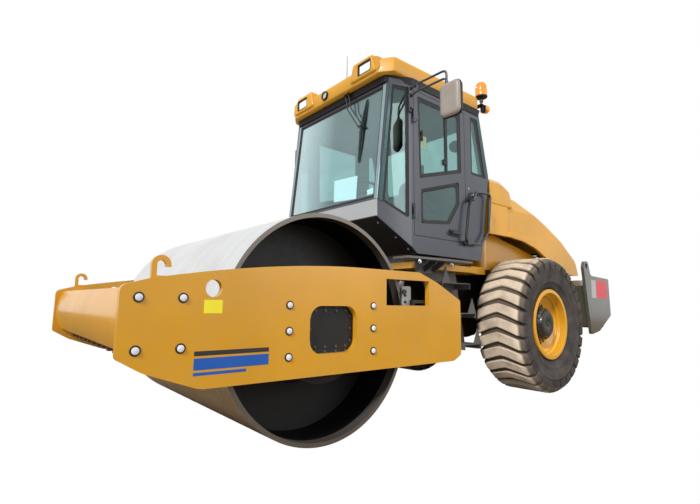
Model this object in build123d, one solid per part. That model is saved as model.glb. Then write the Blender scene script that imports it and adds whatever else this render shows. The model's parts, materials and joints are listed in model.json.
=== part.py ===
from build123d import *
import math
import os

# Single-drum road roller, sizes in millimetres.
# +X is the machine's left side, the drum leads towards -Y, +Z is up.
# Lengths along Y are measured from the drum's axis while building; the whole
# machine is moved at the end so that the origin is the middle of its floor area.

# Overall
FRONT_Y = -1295.0
REAR_Y = 4785.0
MIDDLE_Y = (FRONT_Y + REAR_Y) / 2
CLEAR = 5.0
SEAT_GAP = 0.3
PIN_FIT = 0.05

# Drum
DRUM_RADIUS = 755.0
DRUM_WIDTH = 2130.0
DRUM_WALL = 28.0
HEAD_WALL = 26.0
HEAD_DEPTH = 365.0
HEAD_X = DRUM_WIDTH / 2 - HEAD_DEPTH
HEAD_BOSS_RADIUS = 215.0
HEAD_BOSS_LENGTH = 45.0
EXCITER_RADIUS = 190.0
JOURNAL_RADIUS = 80.0
AXLE_Z = DRUM_RADIUS

# Front frame
PLATE_GAP = 45.0
PLATE_WALL = 40.0
PLATE_INNER_X = DRUM_WIDTH / 2 + PLATE_GAP
PLATE_OUTER_X = PLATE_INNER_X + PLATE_WALL
PLATE_TAIL = 200.0
PORT_HALF = 193.0
PORT_Z = 740.0
PORT_FILLET = 90.0
LIFT_HOLE_Y = -828.0
LIFT_HOLE_Z = 979.0
LIFT_HOLE_RADIUS = 47.5
HOOK_Y = -1107.0
HOOK_Z = 1090.0
HOOK_RADIUS = 48.0
HOOK_BAR = 26.0
WINDOW_Y = (476.0, 948.0)
WINDOW_Z = (897.0, 1088.0)
FRONT_BEAM_Y = -1235.0
FRONT_BEAM_Z = (655.0, 975.0)
FRONT_BEAM_WALL = 20.0
FRONT_BEAM_DEPTH = 150.0
FRONT_BEAM_BULGE = 45.0
REAR_BEAM_GAP = 45.0
REAR_BEAM_DEPTH = 160.0
REAR_BEAM_Y = (DRUM_RADIUS + REAR_BEAM_GAP, DRUM_RADIUS + REAR_BEAM_GAP + REAR_BEAM_DEPTH)
REAR_BEAM_Z = (560.0, 940.0)
REAR_BEAM_WALL = 25.0
SCRAPER_WALL = 16.0

# Drum carriers
CARRIER_WALL = 25.0
CARRIER_HALF_Y = 420.0
CARRIER_HALF_Z = 235.0
BUFFER_RADIUS = 58.0
BUFFER_LENGTH = 60.0
BUFFER_EDGE = 12.0
BUFFER_PITCH = 170.0
BUFFER_COLUMNS = 4
MOUNT_DISC_RADIUS = 380.0
MOUNT_DISC_WALL = 25.0
MOTOR_RADIUS = 185.0

# Centre joint
PIVOT_REACH = 190.0
PIVOT_Y = REAR_BEAM_Y[1] + PIVOT_REACH
PLATE_REAR_Y = PIVOT_Y + PLATE_TAIL
PIVOT_Z = 740.0
PIVOT_PIN_RADIUS = 45.0
OSCILLATION_RADIUS = 110.0
OSCILLATION_BOSS = 180.0
FLANGE_RADIUS = 190.0
FLANGE_WALL = 35.0
YOKE_HALF_X = 120.0
YOKE_HALF_Z = 200.0
EAR_WALL = 55.0
EAR_RADIUS = 125.0
STEER_ARM_RADIUS = 235.0
STEER_ARM_ANGLE = 15.0
STEER_ARM_Z = 640.0
STEER_ARM_WALL = 40.0

# Steering cylinders
BARREL_RADIUS = 42.0
BARREL_WALL = 8.0
BARREL_SHORT = 230.0
PISTON_START = 285.0
ROD_RADIUS = 22.0
BARREL_PIN_X = 240.0
BARREL_PIN_Y = PIVOT_Y + 750.0
STEER_EYE_RADIUS = 48.0
STEER_EYE_WALL = 50.0
STEER_PIN_RADIUS = 20.0

# Rear frame
RAIL_X = 330.0
RAIL_WALL = 40.0
RAIL_Z = (560.0, 1000.0)
RAIL_FRONT_Y = PIVOT_Y + 185.0
RAIL_REAR_Y = 4250.0
DECK_Z = (1240.0, 1300.0)
DECK_Y = (1300.0, 2300.0)
DECK_HALF_X = 700.0
SILL_HALF_X = 620.0
SILL_REAR_Y = 2560.0
MOUNT_Y = (1400.0, 2120.0)
MOUNT_RADIUS = 55.0
FENDER_X = 600.0
FENDER_REAR_Y = 4050.0
FENDER_FILLET = 90.0
PLATFORM_X = 930.0
PLATFORM_WALL = 20.0
STEP_X = (575.0, 765.0)
STEP_WALL = 8.0
STEPS = (
    ((1610.0, 2060.0), (1062.0, 1120.0), -1),
    ((1895.0, 2150.0), (775.0, 825.0), 1),
    ((1950.0, 2230.0), (465.0, 520.0), 1),
)

# Rear wheels
WHEEL_Y = 3010.0
WHEEL_Z = 715.0
TYRE_RADIUS = WHEEL_Z
TYRE_WIDTH = 520.0
TYRE_X = 895.0
TYRE_GROOVE = 34.0
TYRE_GORES = 48
LUG_COUNT = 30
LUG_LENGTH = 104.0
LUG_RISE = 90.0
LUG_BEVEL = (48.0, 42.0)
LUG_ROOT = 110.0
RIM_RADIUS = 372.0
RIM_SEAT_RADIUS = 325.0
RIM_WALL = 16.0
RIM_OFFSET = 70.0
RIM_DISC_WALL = 24.0
BEAD_HALF = 195.0
HUB_RADIUS = 190.0
HUB_REACH = 112.0
HUB_INNER_X = 565.0
HUB_CAP_RADIUS = 135.0
AXLE_BEAM_RADIUS = 130.0
AXLE_PAD_Z = 850.0
SPINDLE_RADIUS = 90.0
SPINDLE_LENGTH = 150.0

# Cab
CAB_HALF_X = 800.0
CAB_FRONT_HALF_X = 696.0
CAB_FRONT_Y = 811.0
CAB_CORNER_Y = 1150.0
CAB_REAR_Y = 2221.0
CAB_WALL = 45.0
CAB_FLOOR_Z = 1360.0
CAB_SILL_Z = 1810.0
CAB_BAND_Z = 1667.0
CAB_TOP_Z = 2960.0
GLASS_INSET = 12.0
GLASS_WALL = 6.0
DOOR_Y = (1185.0, 1965.0)
DOOR_Z = (1525.0, 2890.0)
DOOR_HINGE_X = CAB_HALF_X + 22.0
DOOR_HINGE_Y = DOOR_Y[0] - 12.0
DOOR_HINGE_Z = (1740.0, 2640.0)
HINGE_RADIUS = 15.0
HINGE_PIN_RADIUS = 8.0

# Roof
ROOF_HALF_X = 850.0
ROOF_Y = (770.0, 2260.0)
ROOF_Z = (2960.0, 3105.0)
ROOF_SKIRT_Z = (2925.0, 3020.0)
ROOF_TUCK = 20.0
ROOF_SLOPE = 95.0
ROOF_CROWN = 22.0
ROOF_BEVEL = (170.0, 90.0)
POD_REACH = 14.0
POD_RISE = 72.0
POD_LENGTH = 520.0
LAMP_X = 512.0
LAMP_Z = 3098.0
LAMP_SIZE = (186.0, 118.0)
LAMP_DEPTH = 70.0
LAMP_BEZEL = 14.0
BEACON_SPOT = (CAB_HALF_X - 10.0, 2300.0)
BEACON_RADIUS = 58.0
BEACON_STEM = 160.0
BEACON_RIBS = 12

# Mirrors and grab rails
MIRROR_Y = 1140.0
MIRROR_ARM_X = 1210.0
MIRROR_TUBE_RADIUS = 10.0
MIRROR_TUBE_Z = (2815.0, 2885.0)
MIRROR_TUBE_RISE = 20.0
MIRROR_BODY_Z = 2750.0
MIRROR_SIZE = (232.0, 66.0, 326.0)
MIRROR_SHIFT = 50.0
GRAB_FEET = ((2035.0, 1975.0), (1930.0, 1516.0))
GRAB_REAR_Y = 2310.0
GRAB_STAND_OFF = 45.0
GRAB_RADIUS = 14.0

# Cab fittings
SEAT_Z = 1740.0
DASH_Z = 1930.0
WHEEL_RIM_RADIUS = 190.0

# Hood
HOOD_HALF_X = 750.0
HOOD_WALL = 30.0
HOOD_TUCK = 20.0
HOOD_FLARE = 14.0
HOOD_FLARE_TAPER = 35.0
HOOD_FRONT_Y = 2475.0
HOOD_STEP_Y = 2850.0
HOOD_TAIL_Y = 4668.0
HOOD_BOX_Z = 2318.0
HOOD_HINGE_Y = 4610.0
HOOD_HINGE_Z = 1325.0
HOOD_HINGE_X = (250.0,)
HOOD_PIN_RADIUS = 12.0
HOOD_LUG_RADIUS = 18.0
HOOD_LOW_Z = 1200.0
GRILLE_SLOTS = 9
GRILLE_HALF_X = 330.0
GRILLE_Z = (1400.0, 1640.0)
BUMPER_TOP_Z = 1250.0

# Rear plates
REAR_PLATE_X = 1065.0
REAR_PLATE_WALL = 35.0
LIFT_EYE_RADIUS = 35.0


# Helpers
def outline(corners):
    """Closed face from (a, b) or (a, b, fillet radius) corners."""
    points = [(corner[0], corner[1]) for corner in corners]
    radii = [corner[2] if len(corner) > 2 else 0 for corner in corners]
    if max(radii) == 0:
        return make_face(Polyline(*points, close=True))
    return make_face(FilletPolyline(*points, radius=radii, close=True))


def along_x(face, x0, x1):
    return extrude(Plane.YZ.offset(x0) * face, amount=x1 - x0)


def along_y(face, y0, y1):
    return extrude(Plane.XZ.offset(-y1) * face, amount=y1 - y0)


def along_z(face, z0, z1):
    return extrude(Plane.XY.offset(z0) * face, amount=z1 - z0)


def block(x, y, z):
    """Box between two limits on each axis."""
    size = (x[1] - x[0], y[1] - y[0], z[1] - z[0])
    centre = ((x[0] + x[1]) / 2, (y[0] + y[1]) / 2, (z[0] + z[1]) / 2)
    return Pos(*centre) * Box(*size)


def bar_x(radius, x0, x1, y, z):
    return along_x(Pos(y, z) * Circle(radius), x0, x1)


def bar_y(radius, x, y0, y1, z):
    return along_y(Pos(x, z) * Circle(radius), y0, y1)


def bar_z(radius, x, y, z0, z1):
    return along_z(Pos(x, y) * Circle(radius), z0, z1)


def revolve_x(corners, y, z):
    """Solid of revolution about the X line through (y, z), from (x, radius) corners."""
    face = outline(corners)
    return Pos(0, y, z) * revolve(face, Axis.X)


def mirror_x(shape):
    return mirror(shape, Plane.YZ)


def both_sides(shape):
    return [shape, mirror_x(shape)]


def tube_path(points, fillet_radius, radius):
    """Bent round bar through the given points."""
    path = FilletPolyline(*points, radius=fillet_radius)
    start = Plane(origin=path @ 0, z_dir=path % 0)
    return sweep(start * Circle(radius), path)


# Drum
def drum_shell():
    half = DRUM_WIDTH / 2
    inner = DRUM_RADIUS - DRUM_WALL
    return revolve_x(
        [
            (-half, inner),
            (-half, DRUM_RADIUS),
            (half, DRUM_RADIUS),
            (half, inner),
        ],
        0,
        AXLE_Z,
    )


def drum_heads():
    """Dished heads, their journals' bosses and the housing of the exciter between them."""
    rim = DRUM_RADIUS - DRUM_WALL
    outer = HEAD_X + HEAD_WALL
    boss = outer + HEAD_BOSS_LENGTH
    inner = HEAD_X - 60
    corners = [
        (0, 0),
        (0, EXCITER_RADIUS),
        (inner, EXCITER_RADIUS),
        (inner, 300),
        (HEAD_X, 420),
        (HEAD_X, rim),
        (outer, rim),
        (outer, 410),
        (inner + HEAD_WALL, 290),
        (inner + HEAD_WALL, HEAD_BOSS_RADIUS),
        (boss, HEAD_BOSS_RADIUS),
        (boss, JOURNAL_RADIUS + PIN_FIT),
        (HEAD_X - HEAD_BOSS_LENGTH, JOURNAL_RADIUS + PIN_FIT),
        (HEAD_X - HEAD_BOSS_LENGTH, 0),
    ]
    half = revolve_x(corners, 0, AXLE_Z)
    return half + mirror_x(half)


# Front frame
def plate_outline():
    """Side plate's outline, with its long top edge as one shallow arc."""
    top_start = (-1157, 1020)
    top_end = (313, 1152)
    crown = ThreePointArc(top_start, (-440, 1120), top_end)
    rest = FilletPolyline(
        top_end,
        (839, 1152),
        (1052, 1080),
        (PLATE_REAR_Y, 942),
        (PLATE_REAR_Y, 500),
        (1253, 455),
        (-880, 458),
        (-1169, 562),
        (FRONT_Y, 636),
        (FRONT_Y, 980),
        top_start,
        radius=[60, 250, 25, 35, 120, 200, 200, 30, 40],
    )
    return make_face(crown + rest)


def hook(x0, x1):
    """Lifting hook on a side plate's top edge, open to the rear."""
    centre = Pos(HOOK_Y, HOOK_Z)
    ring = centre * (Circle(HOOK_RADIUS) - Circle(HOOK_RADIUS - HOOK_BAR))
    upper = ring & Pos(HOOK_Y, HOOK_Z + HOOK_RADIUS / 2) * Rectangle(2 * HOOK_RADIUS, HOOK_RADIUS)
    middle = HOOK_RADIUS - HOOK_BAR / 2
    stem = Pos(HOOK_Y - middle, HOOK_Z - 35) * Rectangle(HOOK_BAR, 70)
    tip = Pos(HOOK_Y + middle, HOOK_Z - 5) * Rectangle(HOOK_BAR, 10)
    foot = Pos(HOOK_Y - 8, HOOK_Z - 68) * Rectangle(2 * middle + 10, 24)
    return along_x(upper + stem + tip + foot, x0, x1)


def side_plate():
    """Left side plate, cut for the drive port, the window and the lifting hole."""
    plate = along_x(plate_outline(), PLATE_INNER_X, PLATE_OUTER_X)
    through = (PLATE_INNER_X - 1, PLATE_OUTER_X + 1)
    port_face = Pos(0, PORT_Z) * RectangleRounded(2 * PORT_HALF, 300, PORT_FILLET)
    port = along_x(port_face, *through)
    window = block(through, WINDOW_Y, WINDOW_Z)
    hole = bar_x(LIFT_HOLE_RADIUS, *through, LIFT_HOLE_Y, LIFT_HOLE_Z)
    plate = plate - port - window - hole
    middle = (PLATE_INNER_X + PLATE_OUTER_X) / 2
    return plate + hook(middle - 13, middle + 13)


def front_beam():
    """Rolled front cross member with flanges that run back from its bulging face."""
    low, high = FRONT_BEAM_Z
    depth = FRONT_BEAM_DEPTH
    bulge = FRONT_BEAM_BULGE
    face = make_face(
        Polyline((FRONT_BEAM_Y + depth, low), (FRONT_BEAM_Y, low))
        + ThreePointArc(
            (FRONT_BEAM_Y, low),
            (FRONT_BEAM_Y - bulge, (low + high) / 2),
            (FRONT_BEAM_Y, high),
        )
        + Polyline(
            (FRONT_BEAM_Y, high),
            (FRONT_BEAM_Y + depth, high),
            (FRONT_BEAM_Y + depth, high - FRONT_BEAM_WALL),
            (FRONT_BEAM_Y + FRONT_BEAM_WALL, high - FRONT_BEAM_WALL),
        )
        + ThreePointArc(
            (FRONT_BEAM_Y + FRONT_BEAM_WALL, high - FRONT_BEAM_WALL),
            (FRONT_BEAM_Y - bulge + FRONT_BEAM_WALL, (low + high) / 2),
            (FRONT_BEAM_Y + FRONT_BEAM_WALL, low + FRONT_BEAM_WALL),
        )
        + Polyline(
            (FRONT_BEAM_Y + FRONT_BEAM_WALL, low + FRONT_BEAM_WALL),
            (FRONT_BEAM_Y + depth, low + FRONT_BEAM_WALL),
            (FRONT_BEAM_Y + depth, low),
        )
    )
    return along_x(face, -PLATE_INNER_X, PLATE_INNER_X)


def rear_beam():
    """Box cross member behind the drum with the bore of the oscillation bearing."""
    y0, y1 = REAR_BEAM_Y
    z0, z1 = REAR_BEAM_Z
    wall = REAR_BEAM_WALL
    span = (-PLATE_INNER_X, PLATE_INNER_X)
    box = block(span, REAR_BEAM_Y, REAR_BEAM_Z)
    hollow = block(span, (y0 + wall, y1 - wall), (z0 + wall, z1 - wall))
    boss = bar_y(OSCILLATION_BOSS, 0, y0 + wall / 2, y1, PIVOT_Z)
    bore = bar_y(OSCILLATION_RADIUS + PIN_FIT, 0, y0 - 1, y1 + 1, PIVOT_Z)
    return box - hollow + boss - bore


def scraper(root, angle, flange):
    """Bar from a flange on a cross member to a blade edge just clear of the drum."""
    half = DRUM_WIDTH / 2 - 10
    tip_radius = DRUM_RADIUS + CLEAR + 3
    turn = math.radians(angle)
    tip = Vector(tip_radius * math.cos(turn), AXLE_Z + tip_radius * math.sin(turn))
    start = Vector(*root)
    side = (tip - start).normalized().rotate(Axis.Z, 90) * (SCRAPER_WALL / 2)
    face = make_face(Polyline(start + side, tip + side, tip - side, start - side, close=True))
    return along_x(face, -half, half) + block((-half, half), *flange)


def scraper_front():
    y = FRONT_BEAM_Y + FRONT_BEAM_DEPTH
    z = FRONT_BEAM_Z[0]
    flange = ((y - 90, y), (z - SCRAPER_WALL, z))
    return scraper((y - 20, z - SCRAPER_WALL / 2), 190, flange)


def scraper_rear():
    y = REAR_BEAM_Y[0]
    z = REAR_BEAM_Z[1] - 25
    flange = ((y - SCRAPER_WALL, y), (z - 25, z + 25))
    return scraper((y - SCRAPER_WALL / 2, z), 10, flange)


def carrier_sides():
    """X of the carrier's, buffers' and mount disc's faces, from the plate inwards."""
    plate = PLATE_INNER_X - CARRIER_WALL
    buffer = plate - BUFFER_LENGTH
    disc = buffer - MOUNT_DISC_WALL
    return plate, buffer, disc


def drum_carriers():
    """Black carrier plates bolted inside the side plates."""
    plate_x, _, _ = carrier_sides()
    face = Pos(0, AXLE_Z) * RectangleRounded(2 * CARRIER_HALF_Y, 2 * CARRIER_HALF_Z, 40)
    return both_sides(along_x(face, plate_x, PLATE_INNER_X))


def rubber_buffers():
    """Rubber buffers between the carrier plates and the mount discs, in two rows of four."""
    plate_x, buffer_x, _ = carrier_sides()
    row = CARRIER_HALF_Z - BUFFER_RADIUS - BUFFER_EDGE
    solids = []
    for spot in GridLocations(BUFFER_PITCH, 2 * row, BUFFER_COLUMNS, 2):
        y = spot.position.X
        z = AXLE_Z + spot.position.Y
        solids += both_sides(bar_x(BUFFER_RADIUS, buffer_x, plate_x, y, z))
    return solids


def drum_motors():
    """Mount discs behind the buffers, the drive housings and the drum's journals."""
    _, buffer_x, disc_x = carrier_sides()
    boss = HEAD_X + HEAD_WALL + HEAD_BOSS_LENGTH + CLEAR
    end = HEAD_X - HEAD_BOSS_LENGTH + CLEAR
    corners = [
        (buffer_x, 0),
        (buffer_x, MOUNT_DISC_RADIUS, 8),
        (disc_x, MOUNT_DISC_RADIUS, 8),
        (disc_x, MOTOR_RADIUS + 40, 20),
        (disc_x - 70, MOTOR_RADIUS, 10),
        (boss, MOTOR_RADIUS, 15),
        (boss, JOURNAL_RADIUS),
        (end, JOURNAL_RADIUS),
        (end, 0),
    ]
    return both_sides(revolve_x(corners, 0, AXLE_Z))


# Centre joint and steering
def yoke():
    """Journal, flange, pivot block and steering arms of the centre joint."""
    y0, y1 = REAR_BEAM_Y
    flange_y = y1 + CLEAR
    block_y = flange_y + FLANGE_WALL
    journal = bar_y(OSCILLATION_RADIUS, 0, y0 - 10, flange_y, PIVOT_Z)
    keeper = bar_y(OSCILLATION_RADIUS + 25, 0, y0 - 20, y0 - CLEAR, PIVOT_Z)
    flange = bar_y(FLANGE_RADIUS, 0, flange_y, block_y, PIVOT_Z)
    z = (PIVOT_Z - YOKE_HALF_Z, PIVOT_Z + YOKE_HALF_Z)
    body = block((-YOKE_HALF_X, YOKE_HALF_X), (block_y, PIVOT_Y), z)
    nose = bar_z(YOKE_HALF_X, 0, PIVOT_Y, *z)
    bore = bar_z(PIVOT_PIN_RADIUS + PIN_FIT, 0, PIVOT_Y, z[0] - 1, z[1] + 1)
    arm_z = (STEER_ARM_Z - STEER_ARM_WALL, STEER_ARM_Z)
    arms = []
    for side in (-1, 1):
        _, (eye_x, eye_y) = steer_spots(side)
        pad = Pos(eye_x, eye_y) * Circle(STEER_EYE_RADIUS + 2)
        arms.append(along_z(make_hull(pad.edges() + (Pos(0, PIVOT_Y) * Circle(90)).edges()), *arm_z))
    arms = arms[0] + arms[1]
    return journal + keeper + flange + body + nose + arms - bore


def steer_spots(side):
    """Barrel's pin and rod's eye of one steering cylinder at rest, seen from above."""
    pin = (side * BARREL_PIN_X, BARREL_PIN_Y)
    turn = math.radians(STEER_ARM_ANGLE)
    eye = (side * STEER_ARM_RADIUS * math.cos(turn), PIVOT_Y - STEER_ARM_RADIUS * math.sin(turn))
    return pin, eye


def cylinder_frame(side):
    """Plane whose X runs from the barrel's pin to the rod's eye, and its length."""
    pin, eye = steer_spots(side)
    dx = eye[0] - pin[0]
    dy = eye[1] - pin[1]
    z = STEER_ARM_Z + SEAT_GAP + STEER_EYE_WALL / 2
    plane = Plane(origin=(pin[0], pin[1], z), x_dir=(dx, dy, 0), z_dir=(0, 0, 1))
    return plane, math.hypot(dx, dy)


def round_bar(radius, start, end):
    """Bar along a cylinder's own axis."""
    return extrude(Plane.YZ.offset(start) * Circle(radius), amount=end - start)


def steering_barrel(side):
    """Barrel with the eye at its foot, bored for the piston and the rod."""
    plane, length = cylinder_frame(side)
    end = length - BARREL_SHORT
    half = STEER_EYE_WALL / 2
    eye = extrude(Circle(STEER_EYE_RADIUS), amount=half, both=True)
    hole = extrude(Circle(STEER_PIN_RADIUS + PIN_FIT), amount=STEER_EYE_WALL, both=True)
    neck = Pos(50, 0, 0) * Box(60, 60, STEER_EYE_WALL)
    barrel = round_bar(BARREL_RADIUS, 65, end)
    bore = round_bar(BARREL_RADIUS - BARREL_WALL, PISTON_START - 180, end - 25)
    gland = round_bar(ROD_RADIUS + PIN_FIT, PISTON_START, end + 1)
    return plane * (eye + neck + barrel - hole - bore - gland)


def steering_rod(side):
    """Piston, rod and the eye that lies on the yoke's steering arm."""
    plane, length = cylinder_frame(side)
    half = STEER_EYE_WALL / 2
    piston = round_bar(BARREL_RADIUS - BARREL_WALL - PIN_FIT, PISTON_START, PISTON_START + 40)
    rod = round_bar(ROD_RADIUS, PISTON_START, length - 30)
    eye = Pos(length, 0, 0) * extrude(Circle(STEER_EYE_RADIUS), amount=half, both=True)
    cap = Pos(length, 0, half) * extrude(Circle(STEER_PIN_RADIUS + 10), amount=12)
    return plane * (piston + rod + eye + cap)


# Rear frame
def rear_chassis():
    """Side rails, front bulkhead with the pivot's ears and pin, and cross members."""
    rails = []
    face = outline(
        [
            (RAIL_FRONT_Y, RAIL_Z[0]),
            (RAIL_FRONT_Y, 1100, 40),
            (1700, DECK_Z[0], 60),
            (2650, DECK_Z[0], 120),
            (3050, RAIL_Z[1], 120),
            (RAIL_REAR_Y, RAIL_Z[1]),
            (RAIL_REAR_Y, 620, 60),
            (WHEEL_Y + 290, RAIL_Z[0], 60),
            (WHEEL_Y + 200, AXLE_PAD_Z, 60),
            (WHEEL_Y - 200, AXLE_PAD_Z, 60),
            (WHEEL_Y - 290, RAIL_Z[0], 60),
        ]
    )
    for side in (-1, 1):
        x = sorted((side * RAIL_X, side * (RAIL_X + RAIL_WALL)))
        rails.append(along_x(face, *x))
    inner = (-RAIL_X, RAIL_X)
    bulkhead = block(inner, (RAIL_FRONT_Y, RAIL_FRONT_Y + 40), (RAIL_Z[0], 1100))
    members = [
        block(inner, (2150, 2190), (700, DECK_Z[0])),
        block(inner, (2740, 2780), (900, RAIL_Z[1])),
        block(inner, (3420, 3460), (RAIL_Z[0] + 40, RAIL_Z[1])),
        block(inner, (RAIL_REAR_Y - 40, RAIL_REAR_Y), (640, RAIL_Z[1])),
    ]
    ears = []
    top = PIVOT_Z + YOKE_HALF_Z + CLEAR
    bottom = PIVOT_Z - YOKE_HALF_Z - CLEAR
    ear_face = outline(
        [
            (-RAIL_X, RAIL_FRONT_Y),
            (-EAR_RADIUS, PIVOT_Y + 40, 30),
            (-EAR_RADIUS, PIVOT_Y - EAR_RADIUS, 115),
            (EAR_RADIUS, PIVOT_Y - EAR_RADIUS, 115),
            (EAR_RADIUS, PIVOT_Y + 40, 30),
            (RAIL_X, RAIL_FRONT_Y),
        ]
    )
    for z0 in (top, bottom - EAR_WALL):
        ears.append(along_z(ear_face, z0, z0 + EAR_WALL))
    skirt = block(inner, (RAIL_FRONT_Y, RAIL_FRONT_Y + 40), (bottom - EAR_WALL, RAIL_Z[0]))
    pin = bar_z(PIVOT_PIN_RADIUS, 0, PIVOT_Y, bottom - EAR_WALL - 15, top + EAR_WALL + 15)
    caps = [
        bar_z(PIVOT_PIN_RADIUS + 25, 0, PIVOT_Y, top + EAR_WALL, top + EAR_WALL + 20),
        bar_z(PIVOT_PIN_RADIUS + 25, 0, PIVOT_Y, bottom - EAR_WALL - 20, bottom - EAR_WALL),
    ]
    anchors = []
    for side in (-1, 1):
        pin_spot, _ = steer_spots(side)
        z = STEER_ARM_Z + SEAT_GAP + STEER_EYE_WALL / 2
        half = STEER_EYE_WALL / 2
        web = sorted((side * (BARREL_PIN_X - 45), side * RAIL_X))
        spots = (z - half - CLEAR - 30, z + half + CLEAR)
        for z0 in spots:
            anchors.append(block(web, (BARREL_PIN_Y - 45, BARREL_PIN_Y + 110), (z0, z0 + 30)))
        anchors.append(bar_z(STEER_PIN_RADIUS, *pin_spot, z - half - 35, z + half + 35))
    chassis = rails[0]
    for piece in [rails[1], bulkhead, skirt, pin] + members + ears + caps + anchors:
        chassis += piece
    slot_z = (STEER_ARM_Z - STEER_ARM_WALL - 15, STEER_ARM_Z + STEER_EYE_WALL + 40)
    for side in (-1, 1):
        slot_x = sorted((side * (YOKE_HALF_X + 10), side * (RAIL_X - 8)))
        chassis -= block(slot_x, (RAIL_FRONT_Y - 1, RAIL_FRONT_Y + 41), slot_z)
    return chassis


def deck():
    """Cross deck that carries the cab, and the yellow sills behind it."""
    z0, z1 = DECK_Z
    front, rear = DECK_Y
    plate = block((-DECK_HALF_X, DECK_HALF_X), DECK_Y, DECK_Z)
    sill = block((-SILL_HALF_X, SILL_HALF_X), (rear, SILL_REAR_Y), (z0, z1 + 20))
    pocket = block((-460, 460), (front + 100, rear - 200), (z0 - 1, z0 + 20))
    return plate + sill - pocket


def cab_mounts():
    """Four rubber mounts between the deck and the cab's floor."""
    solids = []
    for y in MOUNT_Y:
        solids += both_sides(bar_z(MOUNT_RADIUS, DECK_HALF_X - 100, y, DECK_Z[1], CAB_FLOOR_Z))
    return solids


def engine_block():
    """Plain block for the engine, on the frame's cross members."""
    x = RAIL_X - SEAT_GAP
    body = block((-x, x), (2740, 3800), (RAIL_Z[1], 1560))
    pan = block((-x + 60, x - 60), (2790, 3400), (RAIL_Z[1] - 60, RAIL_Z[1]))
    return body + pan


def radiator():
    x = RAIL_X + RAIL_WALL
    return block((-x, x), (3950, 4150), (RAIL_Z[1], 1500))


def rear_axle():
    """Beam axle with its gear housing, the pads under the rails and the wheels' spindles."""
    beam = bar_x(AXLE_BEAM_RADIUS, -560, 560, WHEEL_Y, WHEEL_Z)
    spindle_end = TYRE_X + SPINDLE_LENGTH
    spindle = bar_x(SPINDLE_RADIUS, -spindle_end, spindle_end, WHEEL_Y, WHEEL_Z)
    centre = Pos(0, WHEEL_Y, WHEEL_Z) * Sphere(215)
    cover = bar_y(150, 0, WHEEL_Y - 300, WHEEL_Y, WHEEL_Z)
    axle = beam + spindle + centre + cover
    for side in (-1, 1):
        x = sorted((side * (RAIL_X - 30), side * (RAIL_X + RAIL_WALL + 60)))
        axle += block(x, (WHEEL_Y - 110, WHEEL_Y + 110), (WHEEL_Z, AXLE_PAD_Z))
    return axle


def inner_fenders():
    """Yellow tanks between the frame and the wheels, with a rolled front corner."""
    front = SILL_REAR_Y
    rear = FENDER_REAR_Y
    low = RAIL_Z[1] - 40
    face = outline(
        [
            (front, DECK_Z[1]),
            (front, 1665, 20),
            (front + 205, 1712, 60),
            (rear - 312, 1528, 200),
            (rear, 1310, 40),
            (rear, low),
            (WHEEL_Y + 70, low, 100),
            (WHEEL_Y - 50, DECK_Z[1], 60),
        ]
    )
    inner = RAIL_X + RAIL_WALL
    plan = outline(
        [
            (inner, front),
            (FENDER_X, front, FENDER_FILLET),
            (FENDER_X, rear, 20),
            (inner, rear),
        ]
    )
    tank = along_x(face, inner, FENDER_X) & along_z(plan, low, 1800)
    return both_sides(tank)


def platform():
    """Step plate outside the cab door on gusset brackets."""
    z0, z1 = DECK_Z[1], DECK_Z[1] + PLATFORM_WALL
    x = DECK_HALF_X
    face = outline(
        [
            (x, 1010),
            (880, 1010, 30),
            (PLATFORM_X, 1500, 300),
            (PLATFORM_X, 1890, 30),
            (x, 1890),
        ]
    )
    plate = along_z(face, z0, z1)
    gusset = outline([(x, z0), (860, z0), (840, z0 - 25), (x, z0 - 100)])
    for y in (1300, 1420, 1540):
        plate += along_y(gusset, y, y + 12)
    plate += block((x, x + 10), (DECK_Y[0], 1552), (z0 - 100, z0))
    return both_sides(plate)


def step_tread(y, z):
    """Folded tread, open below, from its front and rear Y and its lower and upper Z."""
    wall = STEP_WALL
    face = outline(
        [
            (y[0], z[0]),
            (y[0], z[1], 6),
            (y[1], z[1], 6),
            (y[1], z[0]),
            (y[1] - wall, z[0]),
            (y[1] - wall, z[1] - wall),
            (y[0] + wall, z[1] - wall),
            (y[0] + wall, z[0]),
        ]
    )
    return along_x(face, STEP_X[0], STEP_X[1])


def steps():
    """Hanging ladders with three folded treads each and wing gussets at their ends."""
    top = DECK_Z[0]
    cheek = outline(
        [
            (1500, top),
            (1610, 1060, 20),
            (1890, 470, 30),
            (2230, 465, 30),
            (2150, 830),
            (2100, 1120),
            (2080, top),
        ]
    )
    ladder = along_x(cheek, STEP_X[0] - 15, STEP_X[0])
    wing_x = (STEP_X[1] - STEP_WALL, STEP_X[1])
    for y, z, wing in STEPS:
        ladder += step_tread(y, z)
        lean = y[1] if wing > 0 else y[0]
        far = lean - wing * 130
        peak = lean - wing * 60
        ladder += along_x(outline([(lean, z[1] - 1), (far, z[1] - 1), (peak, z[1] + 150)]), *wing_x)
    ladder += block((500, STEP_X[0]), (1650, 2060), (top - 30, top))
    return both_sides(ladder)


def rear_bumper():
    """Heavy box across the tail with a tow pin's hole in its middle."""
    x = REAR_PLATE_X - REAR_PLATE_WALL
    face = outline(
        [
            (RAIL_REAR_Y, 640, 30),
            (RAIL_REAR_Y, 1180, 20),
            (4400, BUMPER_TOP_Z, 40),
            (4755, BUMPER_TOP_Z, 60),
            (4755, 760, 80),
            (4600, 640, 40),
        ]
    )
    return along_x(face, -x, x) + hood_hinge_pins()


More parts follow.
